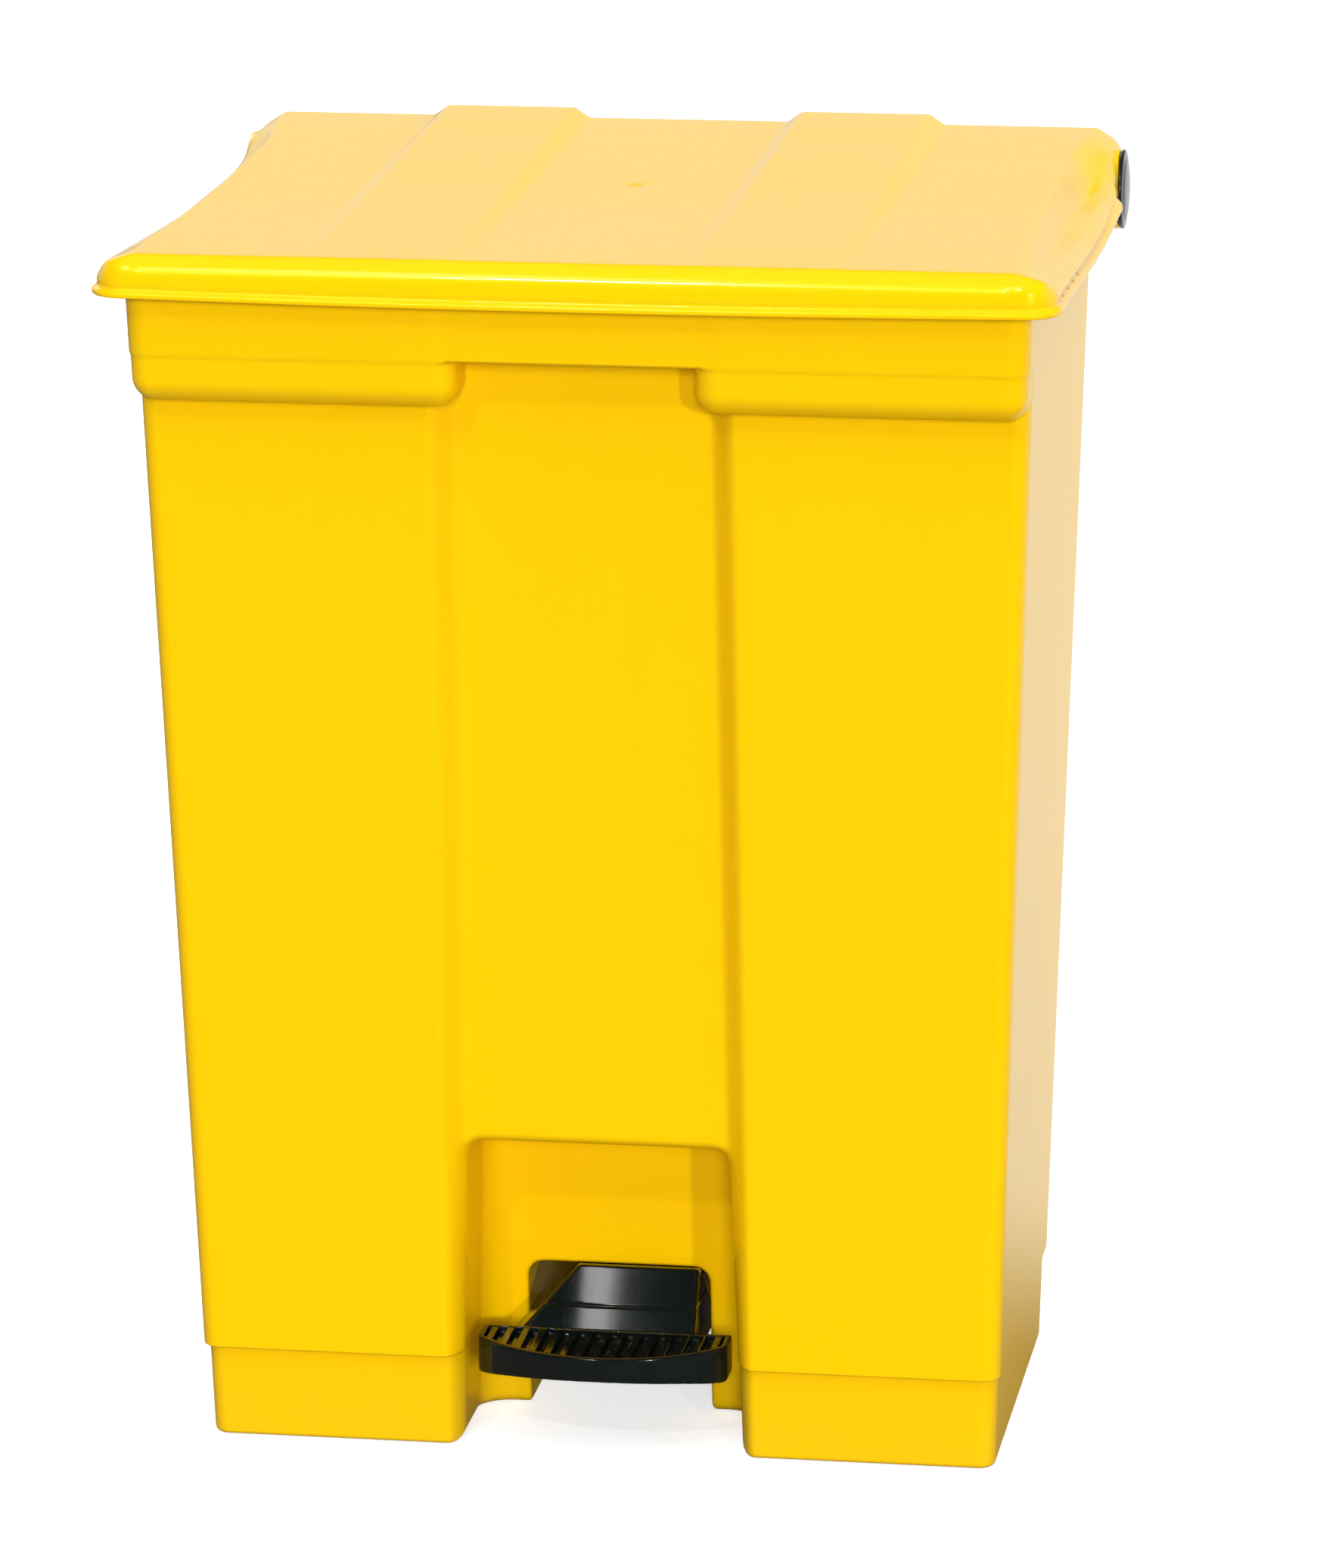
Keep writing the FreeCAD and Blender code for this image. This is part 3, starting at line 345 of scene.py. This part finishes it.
def lid_outer(x, y, z):
    ax = np.abs(x)
    lip = lip_z(y, ax)
    up = z - lip
    top = (z - look(LID_H, ax, y)) * look(LID_K, ax, y)
    # flared rim bead with a groove above it, deeper along the sides
    bead = smooth((up - 2.2) / 2.4)
    groove = np.exp(-((up - 5.3) / 1.3) ** 2)
    side = smooth((y + 196.0) / 24.0)
    # side: full width at the rim, drawn in round the hinge corners
    corner = smooth((y - 118.0) / 30.0)
    wide = 251.4 - 1.8 * bead - (0.3 + 1.8 * side * (1 - corner)) * groove - 6.4 * corner + 1.3 * bead * corner
    fx = ax - wide
    lean = np.maximum(up - 6.0, 0.0)
    ff = (-205.0 + 1.9 * bead + 0.35 * groove + 0.15 * lean) - y
    fr = y - (205.0 - 0.05 * np.maximum(up - 5, 0))
    plan = rint(rint(fx, ff, 18.0), fr, 6.0)
    edge = 2.0 + 9.0 * smooth((-182.0 - y) / 20.0) * (1 - 0.45 * smooth((ax - 222.0) / 16.0)) + 4.5 * smooth((y - 184.0) / 14.0)
    return rint(plan, top, edge)


def lid_f(x, y, z):
    ax = np.abs(x)
    o = lid_outer(x, y, z)
    f = rint(o, -(o + 3.2), 0.9)
    f = rint(f, lip_z(y, ax) - z, 0.8)
    # hinge corners: barrel and skirt below the lip, round the pins
    r = np.sqrt((y - 177.0) ** 2 + (z - 637.0) ** 2)
    skirt = rint(np.abs(ax - 242.6) - 1.75, r - 22.0, 1.2)
    barrel = rint(np.abs(ax - 236.6) - 7.6, r - 14.0, 1.2)
    web = np.maximum(np.maximum(np.abs(ax - 236.6) - 7.0, np.abs(y - 177.0) - 2.0), np.maximum(630.0 - z, z - 656.0))
    ear = runi(runi(skirt, barrel, 1.5), web, 1.0)
    f = runi(f, ear, 1.6)
    f = np.maximum(f, np.where(ax > 225.0, 7.05 - r, -99.0))
    return f


lid_v, lid_q, lid_n = nets(
    lid_f,
    mirrored((0, 8, 1.5), (8, 50, 7.0), (50, 70, 1.6), (70, 130, 7.5), (130, 150, 1.6), (150, 214, 8.0), (214, 253.4, 1.2)),
    lines((-207, -172, 1.2), (-172, 4, 6.0), (4, 24, 1.5), (24, 44, 6.0), (44, 207.5, 1.45)),
    lines((613, 631, 1.4), (631, 676, 0.95)), steps=5)
lid = build("lid_moulding", lid_v, lid_q, lid_n)

# ============================================================ the pedal
PH, PSY, PFY, PRY, PT, PTH = 68.0, -131.0, -160.0, -110.0, 60.0, 20.0
SAG = PSY - PFY
PR = (PH * PH + SAG * SAG) / (2 * SAG)
PCY = PFY + PR
PITCH = (2 * PH - 14.0) / 14.0


def pedal_f(x, y, z):
    ax = np.abs(x)
    arc = np.sqrt(x * x + (y - PCY) ** 2) - PR
    plan = rint(rint(arc, ax - PH, 3.0), y - PRY, 2.0)
    # the underside rises a little to the middle of the front
    under = PT - PTH + 6.5 * (1 - np.minimum((ax / PH) ** 2, 1.0)) * smooth((-118.0 - y) / 30.0)
    tread = rint(rint(plan, z - PT, 1.4), under - z, 1.2)
    # sunk field with front-to-back ribs inside a rim, and a hollow underside
    field = np.maximum(plan + 3.4, y - (PRY - 3.2))
    u = (x + PH - 7.0) / PITCH
    near = np.abs(u - np.round(u)) * PITCH
    floor = PT - 3.4 + 3.0 * (1 - smooth((near - 1.9) / 1.0))
    tread = rsub(tread, rint(field, floor - z, 0.3), 0.4)
    hollow = rint(plan + 5.2, z - (PT - 6.8), 2.0)
    tread = rsub(tread, hollow, 0.8)
    # neck: a steep, slightly bowed front face under the hole's lintel, a
    # chamfer down its left side and a rounded right side
    bow = np.where(x < 0, 0.0023, 0.0012) * x * x
    face = ((-109.0 + bow - y) * 1.54 + (z - 57.0)) / 1.836
    neck = rint(face, z - np.where(y < -78.0, 85.0 - 0.26 * (y + 74.0), 82.6 - 0.86 * (y + 74.0)), 1.2)
    left = (-47.0 + (z - 58.0) * 0.90 - x) / 1.345
    neck = rint(neck, left, 1.6)
    neck = rint(neck, x - 46.6, 2.5)
    neck = np.maximum(neck, np.where(y > -74.0, z - 82.6, -99.0))
    neck = rint(neck, y + 38.0, 1.5)
    neck = np.maximum(neck, 41.0 - z)
    neck = np.maximum(neck, -113.5 - y)
    neck = neck + 0.5 * np.exp(-((z - 69.5) / 0.5) ** 2)
    f = runi(tread, neck, 2.2)
    pocket = np.maximum(np.maximum(ax - 11.0, np.maximum(-96.0 - y, y - 20.0)), np.maximum(40.0 - z, z - 68.5))
    pocket = np.maximum(pocket, -94.0 + (z - 46.0) * 0.65 - y)
    return np.maximum(f, -pocket)


ped_v, ped_q, ped_n = nets(
    pedal_f, mirrored((0, 70.4, 0.8)), lines((-162, -150, 0.9), (-150, -114, 1.6), (-114, -36, 1.1)),
    lines((38.6, 48, 0.9), (48, 55, 1.4), (55, 63, 0.55), (63, 91, 0.9)), steps=5)
pedal = build("pedal_moulding", ped_v, ped_q, ped_n)

# ============================================================ hinge cap
prof = [(0.0, 7.1), (0.0, 20.6), (0.15, 21.5), (0.8, 22.0), (1.6, 21.9), (2.1, 21.4), (2.35, 20.6), (2.5, 19.4),
        (2.35, 18.6), (2.4, 17.9), (3.0, 16.8), (3.5, 14.0), (3.85, 10.0), (4.05, 6.0), (4.2, 2.4), (4.25, 0.02)]
cap_v, cap_q = lathe("hinge_cap", prof, (244.85, 177.0, 637.0), 1)
cap = build("cap_disc", np.array(cap_v), cap_q)

# ============================================================ rod cover
def cover_f(x, y, z):
    ax = np.abs(x)
    ry = RY0 + RYK * z
    outer = rint(rint(ax - 24.0, y - 176.0, 6.0), z - 598.0, 2.0)
    flange = rint(ax - 38.0, y - (ry + 3.0), 1.0)
    flange = rint(flange, z - 598.0, 2.0)
    f = runi(outer, flange, 2.0)
    f = np.maximum(f, ry - y)
    f = np.maximum(f, 6.0 - z)
    inner = rint(rint(ax - 21.0, y - 173.0, 4.0), z - 594.8, 1.5)
    f = np.maximum(f, -inner)
    hole = np.maximum(np.maximum(ax - 9.0, np.abs(y - 157.3) - 13.5), 580.0 - z)
    return np.maximum(f, -hole)


cov_v, cov_q, cov_n = nets(
    cover_f, mirrored((0, 14, 2.0), (14, 26, 1.1), (26, 34, 2.0), (34, 40.5, 1.1)),
    lines((110, 150, 1.6), (150, 166, 2.0), (166, 178, 1.0)),
    lines((4.5, 8, 1.2), (8, 580, 14.0), (580, 601, 1.2)))
cover = build("rod_cover_moulding", cov_v, cov_q, cov_n)

# ============================================================ materials


def new_mat(name):
    m = bpy.data.materials.new(name)
    m.use_nodes = True
    nt = m.node_tree
    nt.nodes.clear()
    out = nt.nodes.new("ShaderNodeOutputMaterial")
    bs = nt.nodes.new("ShaderNodeBsdfPrincipled")
    nt.links.new(bs.outputs["BSDF"], out.inputs["Surface"])
    return m, nt, bs


def plastic(name, col, col2, rough, rough_span=0.05, tint=(1, 1, 1), spec=0.5, bump=0.02, fine=900.0, coat=0.0,
            coat_rough=0.1, scuff=0.0, bottom_darkening_colour=None):
    """Moulded plastic: broad and fine colour variation, uneven gloss, a fine
    mould texture, faint flow marks and short rubbed scratches."""
    m, nt, bs = new_mat(name)
    N, L = nt.nodes.new, nt.links.new
    tc = N("ShaderNodeTexCoord")
    broad = N("ShaderNodeTexNoise"); broad.inputs["Scale"].default_value = 5.0
    broad.inputs["Detail"].default_value = 3.0; broad.inputs["Roughness"].default_value = 0.5
    L(tc.outputs["Object"], broad.inputs["Vector"])
    mid = N("ShaderNodeTexNoise"); mid.inputs["Scale"].default_value = 60.0
    mid.inputs["Detail"].default_value = 4.0
    L(tc.outputs["Object"], mid.inputs["Vector"])
    mp = N("ShaderNodeMapping"); mp.inputs["Scale"].default_value = (90.0, 90.0, 6.0)
    L(tc.outputs["Object"], mp.inputs["Vector"])
    flow = N("ShaderNodeTexNoise"); flow.inputs["Scale"].default_value = 1.0
    flow.inputs["Detail"].default_value = 2.0
    L(mp.outputs["Vector"], flow.inputs["Vector"])
    mixf = N("ShaderNodeMix"); mixf.data_type = "FLOAT"
    mixf.inputs[0].default_value = 0.4
    L(broad.outputs["Fac"], mixf.inputs[2]); L(mid.outputs["Fac"], mixf.inputs[3])
    mixg = N("ShaderNodeMix"); mixg.data_type = "FLOAT"; mixg.inputs[0].default_value = 0.25
    L(mixf.outputs[0], mixg.inputs[2]); L(flow.outputs["Fac"], mixg.inputs[3])
    ramp = N("ShaderNodeValToRGB")
    ramp.color_ramp.elements[0].position = 0.34
    ramp.color_ramp.elements[1].position = 0.66
    ramp.color_ramp.elements[0].color = (*col2, 1)
    ramp.color_ramp.elements[1].color = (*col, 1)
    L(mixg.outputs[0], ramp.inputs["Fac"])
    colour = ramp.outputs["Color"]
    if bottom_darkening_colour:
        # slightly darker and browner, mottled, towards the bottom of the walls (lowest 6 cm)
        sp = N("ShaderNodeSeparateXYZ"); L(tc.outputs["Object"], sp.inputs[0])
        mr = N("ShaderNodeMapRange"); mr.inputs["From Min"].default_value = 0.06
        mr.inputs["From Max"].default_value = 0.0
        mr.inputs["To Min"].default_value = 0.0; mr.inputs["To Max"].default_value = 1.0
        L(sp.outputs["Z"], mr.inputs["Value"])
        gm = N("ShaderNodeMath"); gm.operation = "MULTIPLY"
        L(mr.outputs["Result"], gm.inputs[0]); L(mid.outputs["Fac"], gm.inputs[1])
        gm2 = N("ShaderNodeMath"); gm2.operation = "MULTIPLY"; gm2.inputs[1].default_value = 0.25
        L(gm.outputs[0], gm2.inputs[0])
        mx = N("ShaderNodeMix"); mx.data_type = "RGBA"
        L(gm2.outputs[0], mx.inputs[0])
        L(colour, mx.inputs[6]); mx.inputs[7].default_value = (*bottom_darkening_colour, 1)
        colour = mx.outputs[2]
    L(colour, bs.inputs["Base Color"])
    # gloss
    rr = N("ShaderNodeMapRange")
    rr.inputs["From Min"].default_value = 0.3; rr.inputs["From Max"].default_value = 0.7
    rr.inputs["To Min"].default_value = rough - rough_span / 2
    rr.inputs["To Max"].default_value = rough + rough_span / 2
    L(mixg.outputs[0], rr.inputs["Value"])
    rough_out = rr.outputs["Result"]
    if scuff > 0:
        ms = N("ShaderNodeMapping"); ms.inputs["Scale"].default_value = (700.0, 22.0, 260.0)
        ms.inputs["Rotation"].default_value = (0.3, 0.5, 0.6)
        L(tc.outputs["Object"], ms.inputs["Vector"])
        ns = N("ShaderNodeTexNoise"); ns.inputs["Scale"].default_value = 1.0; ns.inputs["Detail"].default_value = 6.0
        L(ms.outputs["Vector"], ns.inputs["Vector"])
        th = N("ShaderNodeMapRange"); th.inputs["From Min"].default_value = 0.64; th.inputs["From Max"].default_value = 0.72
        L(ns.outputs["Fac"], th.inputs["Value"])
        sm = N("ShaderNodeMath"); sm.operation = "MULTIPLY"; sm.inputs[1].default_value = scuff
        L(th.outputs["Result"], sm.inputs[0])
        ad = N("ShaderNodeMath"); ad.operation = "ADD"; L(rough_out, ad.inputs[0]); L(sm.outputs[0], ad.inputs[1])
        rough_out = ad.outputs[0]
    L(rough_out, bs.inputs["Roughness"])
    # surface: fine mould grain and very long waves
    fn = N("ShaderNodeTexNoise"); fn.inputs["Scale"].default_value = fine; fn.inputs["Detail"].default_value = 3.0
    L(tc.outputs["Object"], fn.inputs["Vector"])
    wv = N("ShaderNodeTexNoise"); wv.inputs["Scale"].default_value = 9.0; wv.inputs["Detail"].default_value = 1.0
    L(tc.outputs["Object"], wv.inputs["Vector"])
    b1 = N("ShaderNodeBump"); b1.inputs["Strength"].default_value = bump * 3; b1.inputs["Distance"].default_value = 0.00005
    L(fn.outputs["Fac"], b1.inputs["Height"])
    b2 = N("ShaderNodeBump"); b2.inputs["Strength"].default_value = 0.05; b2.inputs["Distance"].default_value = 0.0006
    L(wv.outputs["Fac"], b2.inputs["Height"]); L(b2.outputs["Normal"], b1.inputs["Normal"])
    if bump > 0:
        L(b1.outputs["Normal"], bs.inputs["Normal"])
    bs.inputs["Specular Tint"].default_value = (*tint, 1)
    bs.inputs["Specular IOR Level"].default_value = spec
    bs.inputs["Coat Weight"].default_value = coat
    bs.inputs["Coat Roughness"].default_value = coat_rough
    return m


def metal(name, col, rough, grain=(400.0, 400.0, 8.0), spangle=0.0):
    """Plated steel: drawn grain, patchy gloss and faint dulling."""
    m, nt, bs = new_mat(name)
    N, L = nt.nodes.new, nt.links.new
    tc = N("ShaderNodeTexCoord")
    mp = N("ShaderNodeMapping"); mp.inputs["Scale"].default_value = grain
    L(tc.outputs["Object"], mp.inputs["Vector"])
    ns = N("ShaderNodeTexNoise"); ns.inputs["Scale"].default_value = 1.0; ns.inputs["Detail"].default_value = 4.0
    L(mp.outputs["Vector"], ns.inputs["Vector"])
    pt = N("ShaderNodeTexNoise"); pt.inputs["Scale"].default_value = 45.0; pt.inputs["Detail"].default_value = 3.0
    L(tc.outputs["Object"], pt.inputs["Vector"])
    ramp = N("ShaderNodeValToRGB")
    ramp.color_ramp.elements[0].position = 0.3; ramp.color_ramp.elements[1].position = 0.7
    ramp.color_ramp.elements[0].color = (*[c * 0.78 for c in col], 1)
    ramp.color_ramp.elements[1].color = (*col, 1)
    L(pt.outputs["Fac"], ramp.inputs["Fac"])
    L(ramp.outputs["Color"], bs.inputs["Base Color"])
    mr = N("ShaderNodeMapRange"); mr.inputs["From Min"].default_value = 0.25; mr.inputs["From Max"].default_value = 0.75
    mr.inputs["To Min"].default_value = rough - 0.08; mr.inputs["To Max"].default_value = rough + 0.1
    L(ns.outputs["Fac"], mr.inputs["Value"]); L(mr.outputs["Result"], bs.inputs["Roughness"])
    bp = N("ShaderNodeBump"); bp.inputs["Strength"].default_value = 0.12; bp.inputs["Distance"].default_value = 0.0001
    L(ns.outputs["Fac"], bp.inputs["Height"]); L(bp.outputs["Normal"], bs.inputs["Normal"])
    bs.inputs["Metallic"].default_value = 1.0
    return m


TINT = (1.0, 0.72, 0.10)
# the yellow body turns slightly darker and browner towards the bottom of its walls
YELLOW = plastic("yellow_moulding", (0.93, 0.560, 0.0012), (0.915, 0.545, 0.0010), 0.30, 0.05, TINT, 0.5, 0.02,
                 coat=0.06, coat_rough=0.12, bottom_darkening_colour=(0.55, 0.36, 0.03))
YELLOW_LID = plastic("yellow_lid", (0.93, 0.560, 0.0012), (0.915, 0.546, 0.0010), 0.26, 0.05, TINT, 0.5, 0.0,
                     coat=0.16, coat_rough=0.07)
BLACK = plastic("black_gloss", (0.0025, 0.0058, 0.0050), (0.0015, 0.0036, 0.0031), 0.11, 0.06, (1, 1, 1), 0.36, 0.015,
                fine=700.0, scuff=0.08)
BLACKSTEEL = plastic("black_painted_steel", (0.012, 0.012, 0.013), (0.008, 0.008, 0.009), 0.38, 0.12, (1, 1, 1), 0.4, 0.06,
                     fine=500.0, scuff=0.10)
CAPMAT = plastic("cap_black", (0.010, 0.011, 0.011), (0.006, 0.007, 0.007), 0.22, 0.10, (1, 1, 1), 0.5, 0.03, fine=600.0)
DARK = plastic("dark_moulded", (0.03, 0.03, 0.032), (0.02, 0.02, 0.022), 0.48, 0.10, (1, 1, 1), 0.5, 0.05)
RUBBER = plastic("black_rubber", (0.022, 0.022, 0.023), (0.014, 0.014, 0.015), 0.72, 0.10, (1, 1, 1), 0.35, 0.06, fine=500.0)
STEEL = metal("plated_steel", (0.60, 0.61, 0.62), 0.32)
ZINC = metal("zinc_screw", (0.66, 0.66, 0.65), 0.28, grain=(300.0, 300.0, 300.0))

SLOT_MAT = {"yellow_plastic": YELLOW, "yellow_lid_plastic": YELLOW_LID, "black_plastic": BLACK, "dark_moulded": DARK,
            "black_steel": BLACKSTEEL, "black_rubber": RUBBER, "steel": STEEL, "zinc_screw": ZINC}

MADE = [
    (tub, "container", ["bin_body"], "yellow_plastic", YELLOW),
    (lid, "lid_assembly", ["lid"], "yellow_lid_plastic", YELLOW_LID),
    (pedal, "pedal_lever", ["pedal"], "black_plastic", BLACK),
    (cover, "container", ["rod_cover"], "yellow_plastic", YELLOW),
    (cap, "container", ["hinge_cap"], "black_plastic", CAPMAT),
]
REPLACED = set()
for ob, body, nodes, slot, mat in MADE:
    ob.data.materials.clear()
    ob.data.materials.append(mat)
    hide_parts(*nodes)
    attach(ob, body)
    REPLACED.update(nodes)

for sp in frame["record"]["subparts"]:
    n = sp["node"]
    if n in REPLACED:
        continue
    ob = NODES[n]
    mat = SLOT_MAT[sp["material_slot"]]
    if not ob.data.materials:
        ob.data.materials.append(mat)
    for i in range(len(ob.material_slots)):
        ob.material_slots[i].material = mat

# ============================================================ floor and light
# The floor looks pale and even. What it sends back to the object is pale only
# behind it and to the right, as from a lit backdrop.


def ramp_node(nt, src, a, b):
    r = nt.nodes.new("ShaderNodeMapRange")
    r.interpolation_type = "SMOOTHSTEP"
    r.inputs["From Min"].default_value = a
    r.inputs["From Max"].default_value = b
    nt.links.new(src, r.inputs["Value"])
    return r.outputs["Result"]


def times(nt, a, b):
    m = nt.nodes.new("ShaderNodeMath")
    m.operation = "MULTIPLY"
    for k, v in enumerate((a, b)):
        if isinstance(v, (int, float)):
            m.inputs[k].default_value = v
        else:
            nt.links.new(v, m.inputs[k])
    return m.outputs[0]


fl_m, fl_nt, fl_b = new_mat("studio_floor")
fl_b.inputs["Base Color"].default_value = (0.82, 0.82, 0.82, 1)
fl_b.inputs["Roughness"].default_value = 0.9
fl_b.inputs["Specular IOR Level"].default_value = 0.0
fl_b.inputs["Emission Color"].default_value = (1, 1, 1, 1)
fl_b.inputs["Emission Strength"].default_value = 0.62
fl_d = fl_nt.nodes.new("ShaderNodeBsdfPrincipled")
fl_d.inputs["Base Color"].default_value = (0.22, 0.22, 0.22, 1)
fl_d.inputs["Roughness"].default_value = 0.9
fl_d.inputs["Specular IOR Level"].default_value = 0.0
fl_d.inputs["Emission Color"].default_value = (1, 1, 1, 1)
fl_g = fl_nt.nodes.new("ShaderNodeNewGeometry")
fl_s = fl_nt.nodes.new("ShaderNodeSeparateXYZ")
fl_nt.links.new(fl_g.outputs["Position"], fl_s.inputs[0])
fl_nt.links.new(times(fl_nt, times(fl_nt, ramp_node(fl_nt, fl_s.outputs["Y"], 0.02, 0.36),
                                   ramp_node(fl_nt, fl_s.outputs["X"], -0.25, 0.15)), 0.85), fl_d.inputs["Emission Strength"])
fl_p = fl_nt.nodes.new("ShaderNodeLightPath")
fl_x = fl_nt.nodes.new("ShaderNodeMixShader")
fl_o = [n for n in fl_nt.nodes if n.type == "OUTPUT_MATERIAL"][0]
fl_nt.links.new(fl_p.outputs["Is Camera Ray"], fl_x.inputs[0])
fl_nt.links.new(fl_d.outputs["BSDF"], fl_x.inputs[1])
fl_nt.links.new(fl_b.outputs["BSDF"], fl_x.inputs[2])
fl_nt.links.new(fl_x.outputs[0], fl_o.inputs["Surface"])
S = 14.0
fm = bpy.data.meshes.new("studio_floor")
fm.from_pydata([(-S, -S, 0), (S, -S, 0), (S, S, 0), (-S, S, 0)], [], [(0, 1, 2, 3)])
floor = bpy.data.objects.new("studio_floor", fm)
bpy.context.scene.collection.objects.link(floor)
fm.materials.append(fl_m)


def sun(name, az, el, e, angle, glossy=True):
    """Light from azimuth az (degrees to the right of the front) and elevation el."""
    d = bpy.data.lights.new(name, "SUN")
    d.energy = e * math.pi
    d.angle = math.radians(angle)
    o = bpy.data.objects.new(name, d)
    bpy.context.scene.collection.objects.link(o)
    a, l = math.radians(az), math.radians(el)
    to = Vector((math.sin(a) * math.cos(l), -math.cos(a) * math.cos(l), math.sin(l)))
    o.rotation_euler = to.to_track_quat("Z", "Y").to_euler()
    o.location = to * 3.0
    o.visible_glossy = glossy
    return o


sun("key_upper", -12.3, 39.0, 0.140, 1.6)
sun("key_right", 27.5, 11.0, 0.280, 2.0)
sun("front_fill", 9.0, 15.0, 0.58, 14.0, glossy=False)
sun("top_fill", 10.0, 82.0, 0.60, 60.0, glossy=False)
sun("right_fill", 78.0, 10.0, 0.19, 40.0, glossy=False)
sun("pedal_softbox", -18.4, 47.0, 0.058, 8.0)
sun("rear_softbox", -146.5, 29.3, 0.07, 16.0)

world = bpy.data.worlds.new("studio")
bpy.context.scene.world = world
world.use_nodes = True
wn, wl = world.node_tree.nodes, world.node_tree.links
wn.clear()
wo = wn.new("ShaderNodeOutputWorld")
bg = wn.new("ShaderNodeBackground")
wl.new(bg.outputs[0], wo.inputs["Surface"])
tc = wn.new("ShaderNodeTexCoord")
sx = wn.new("ShaderNodeSeparateXYZ")
wl.new(tc.outputs["Generated"], sx.inputs[0])
back = ramp_node(world.node_tree, sx.outputs["Y"], -0.25, 0.35)
low = ramp_node(world.node_tree, sx.outputs["Z"], 0.51, 0.34)
notleft = ramp_node(world.node_tree, sx.outputs["X"], -1.15, -0.92)
lit = times(world.node_tree, times(world.node_tree, back, low), notleft)
r3 = wn.new("ShaderNodeMapRange")
r3.inputs["To Min"].default_value = 0.10; r3.inputs["To Max"].default_value = 0.92
wl.new(lit, r3.inputs["Value"])
lp = wn.new("ShaderNodeLightPath")
mc = wn.new("ShaderNodeMix"); mc.data_type = "FLOAT"
mc.inputs[3].default_value = 1.0
wl.new(lp.outputs["Is Camera Ray"], mc.inputs[0])
wl.new(r3.outputs["Result"], mc.inputs[2])
wl.new(mc.outputs[0], bg.inputs["Strength"])
bg.inputs["Color"].default_value = (1, 1, 1, 1)

# ============================================================ camera
F_PX, W_PX, H_PX = 10022.51, 1774, 2072
CX, CY = 884.39, 1035.64
yaw, pitch, roll = math.radians(9.12), math.radians(-14.84), math.radians(-0.42)
fwd = Vector((-math.sin(yaw) * math.cos(pitch), math.cos(yaw) * math.cos(pitch), math.sin(pitch)))
right = fwd.cross(Vector((0, 0, 1))).normalized()
up = right.cross(fwd)
rr = right * math.cos(roll) + up * math.sin(roll)
uu = -right * math.sin(roll) + up * math.cos(roll)
cam_d = bpy.data.cameras.new("camera")
cam_d.sensor_width = 36.0
cam_d.sensor_fit = "AUTO"
cam_d.lens = F_PX * 36.0 / H_PX
cam_d.shift_x = (W_PX / 2 - CX) / H_PX
cam_d.shift_y = -(H_PX / 2 - CY) / H_PX
cam_d.clip_end = 60.0
cam = bpy.data.objects.new("camera", cam_d)
bpy.context.scene.collection.objects.link(cam)
cam.matrix_world = Matrix((
    (rr.x, uu.x, -fwd.x, 0.65034), (rr.y, uu.y, -fwd.y, -3.93925), (rr.z, uu.z, -fwd.z, 1.39334), (0, 0, 0, 1)))
bpy.context.scene.camera = cam
bpy.context.scene.view_settings.view_transform = "Standard"
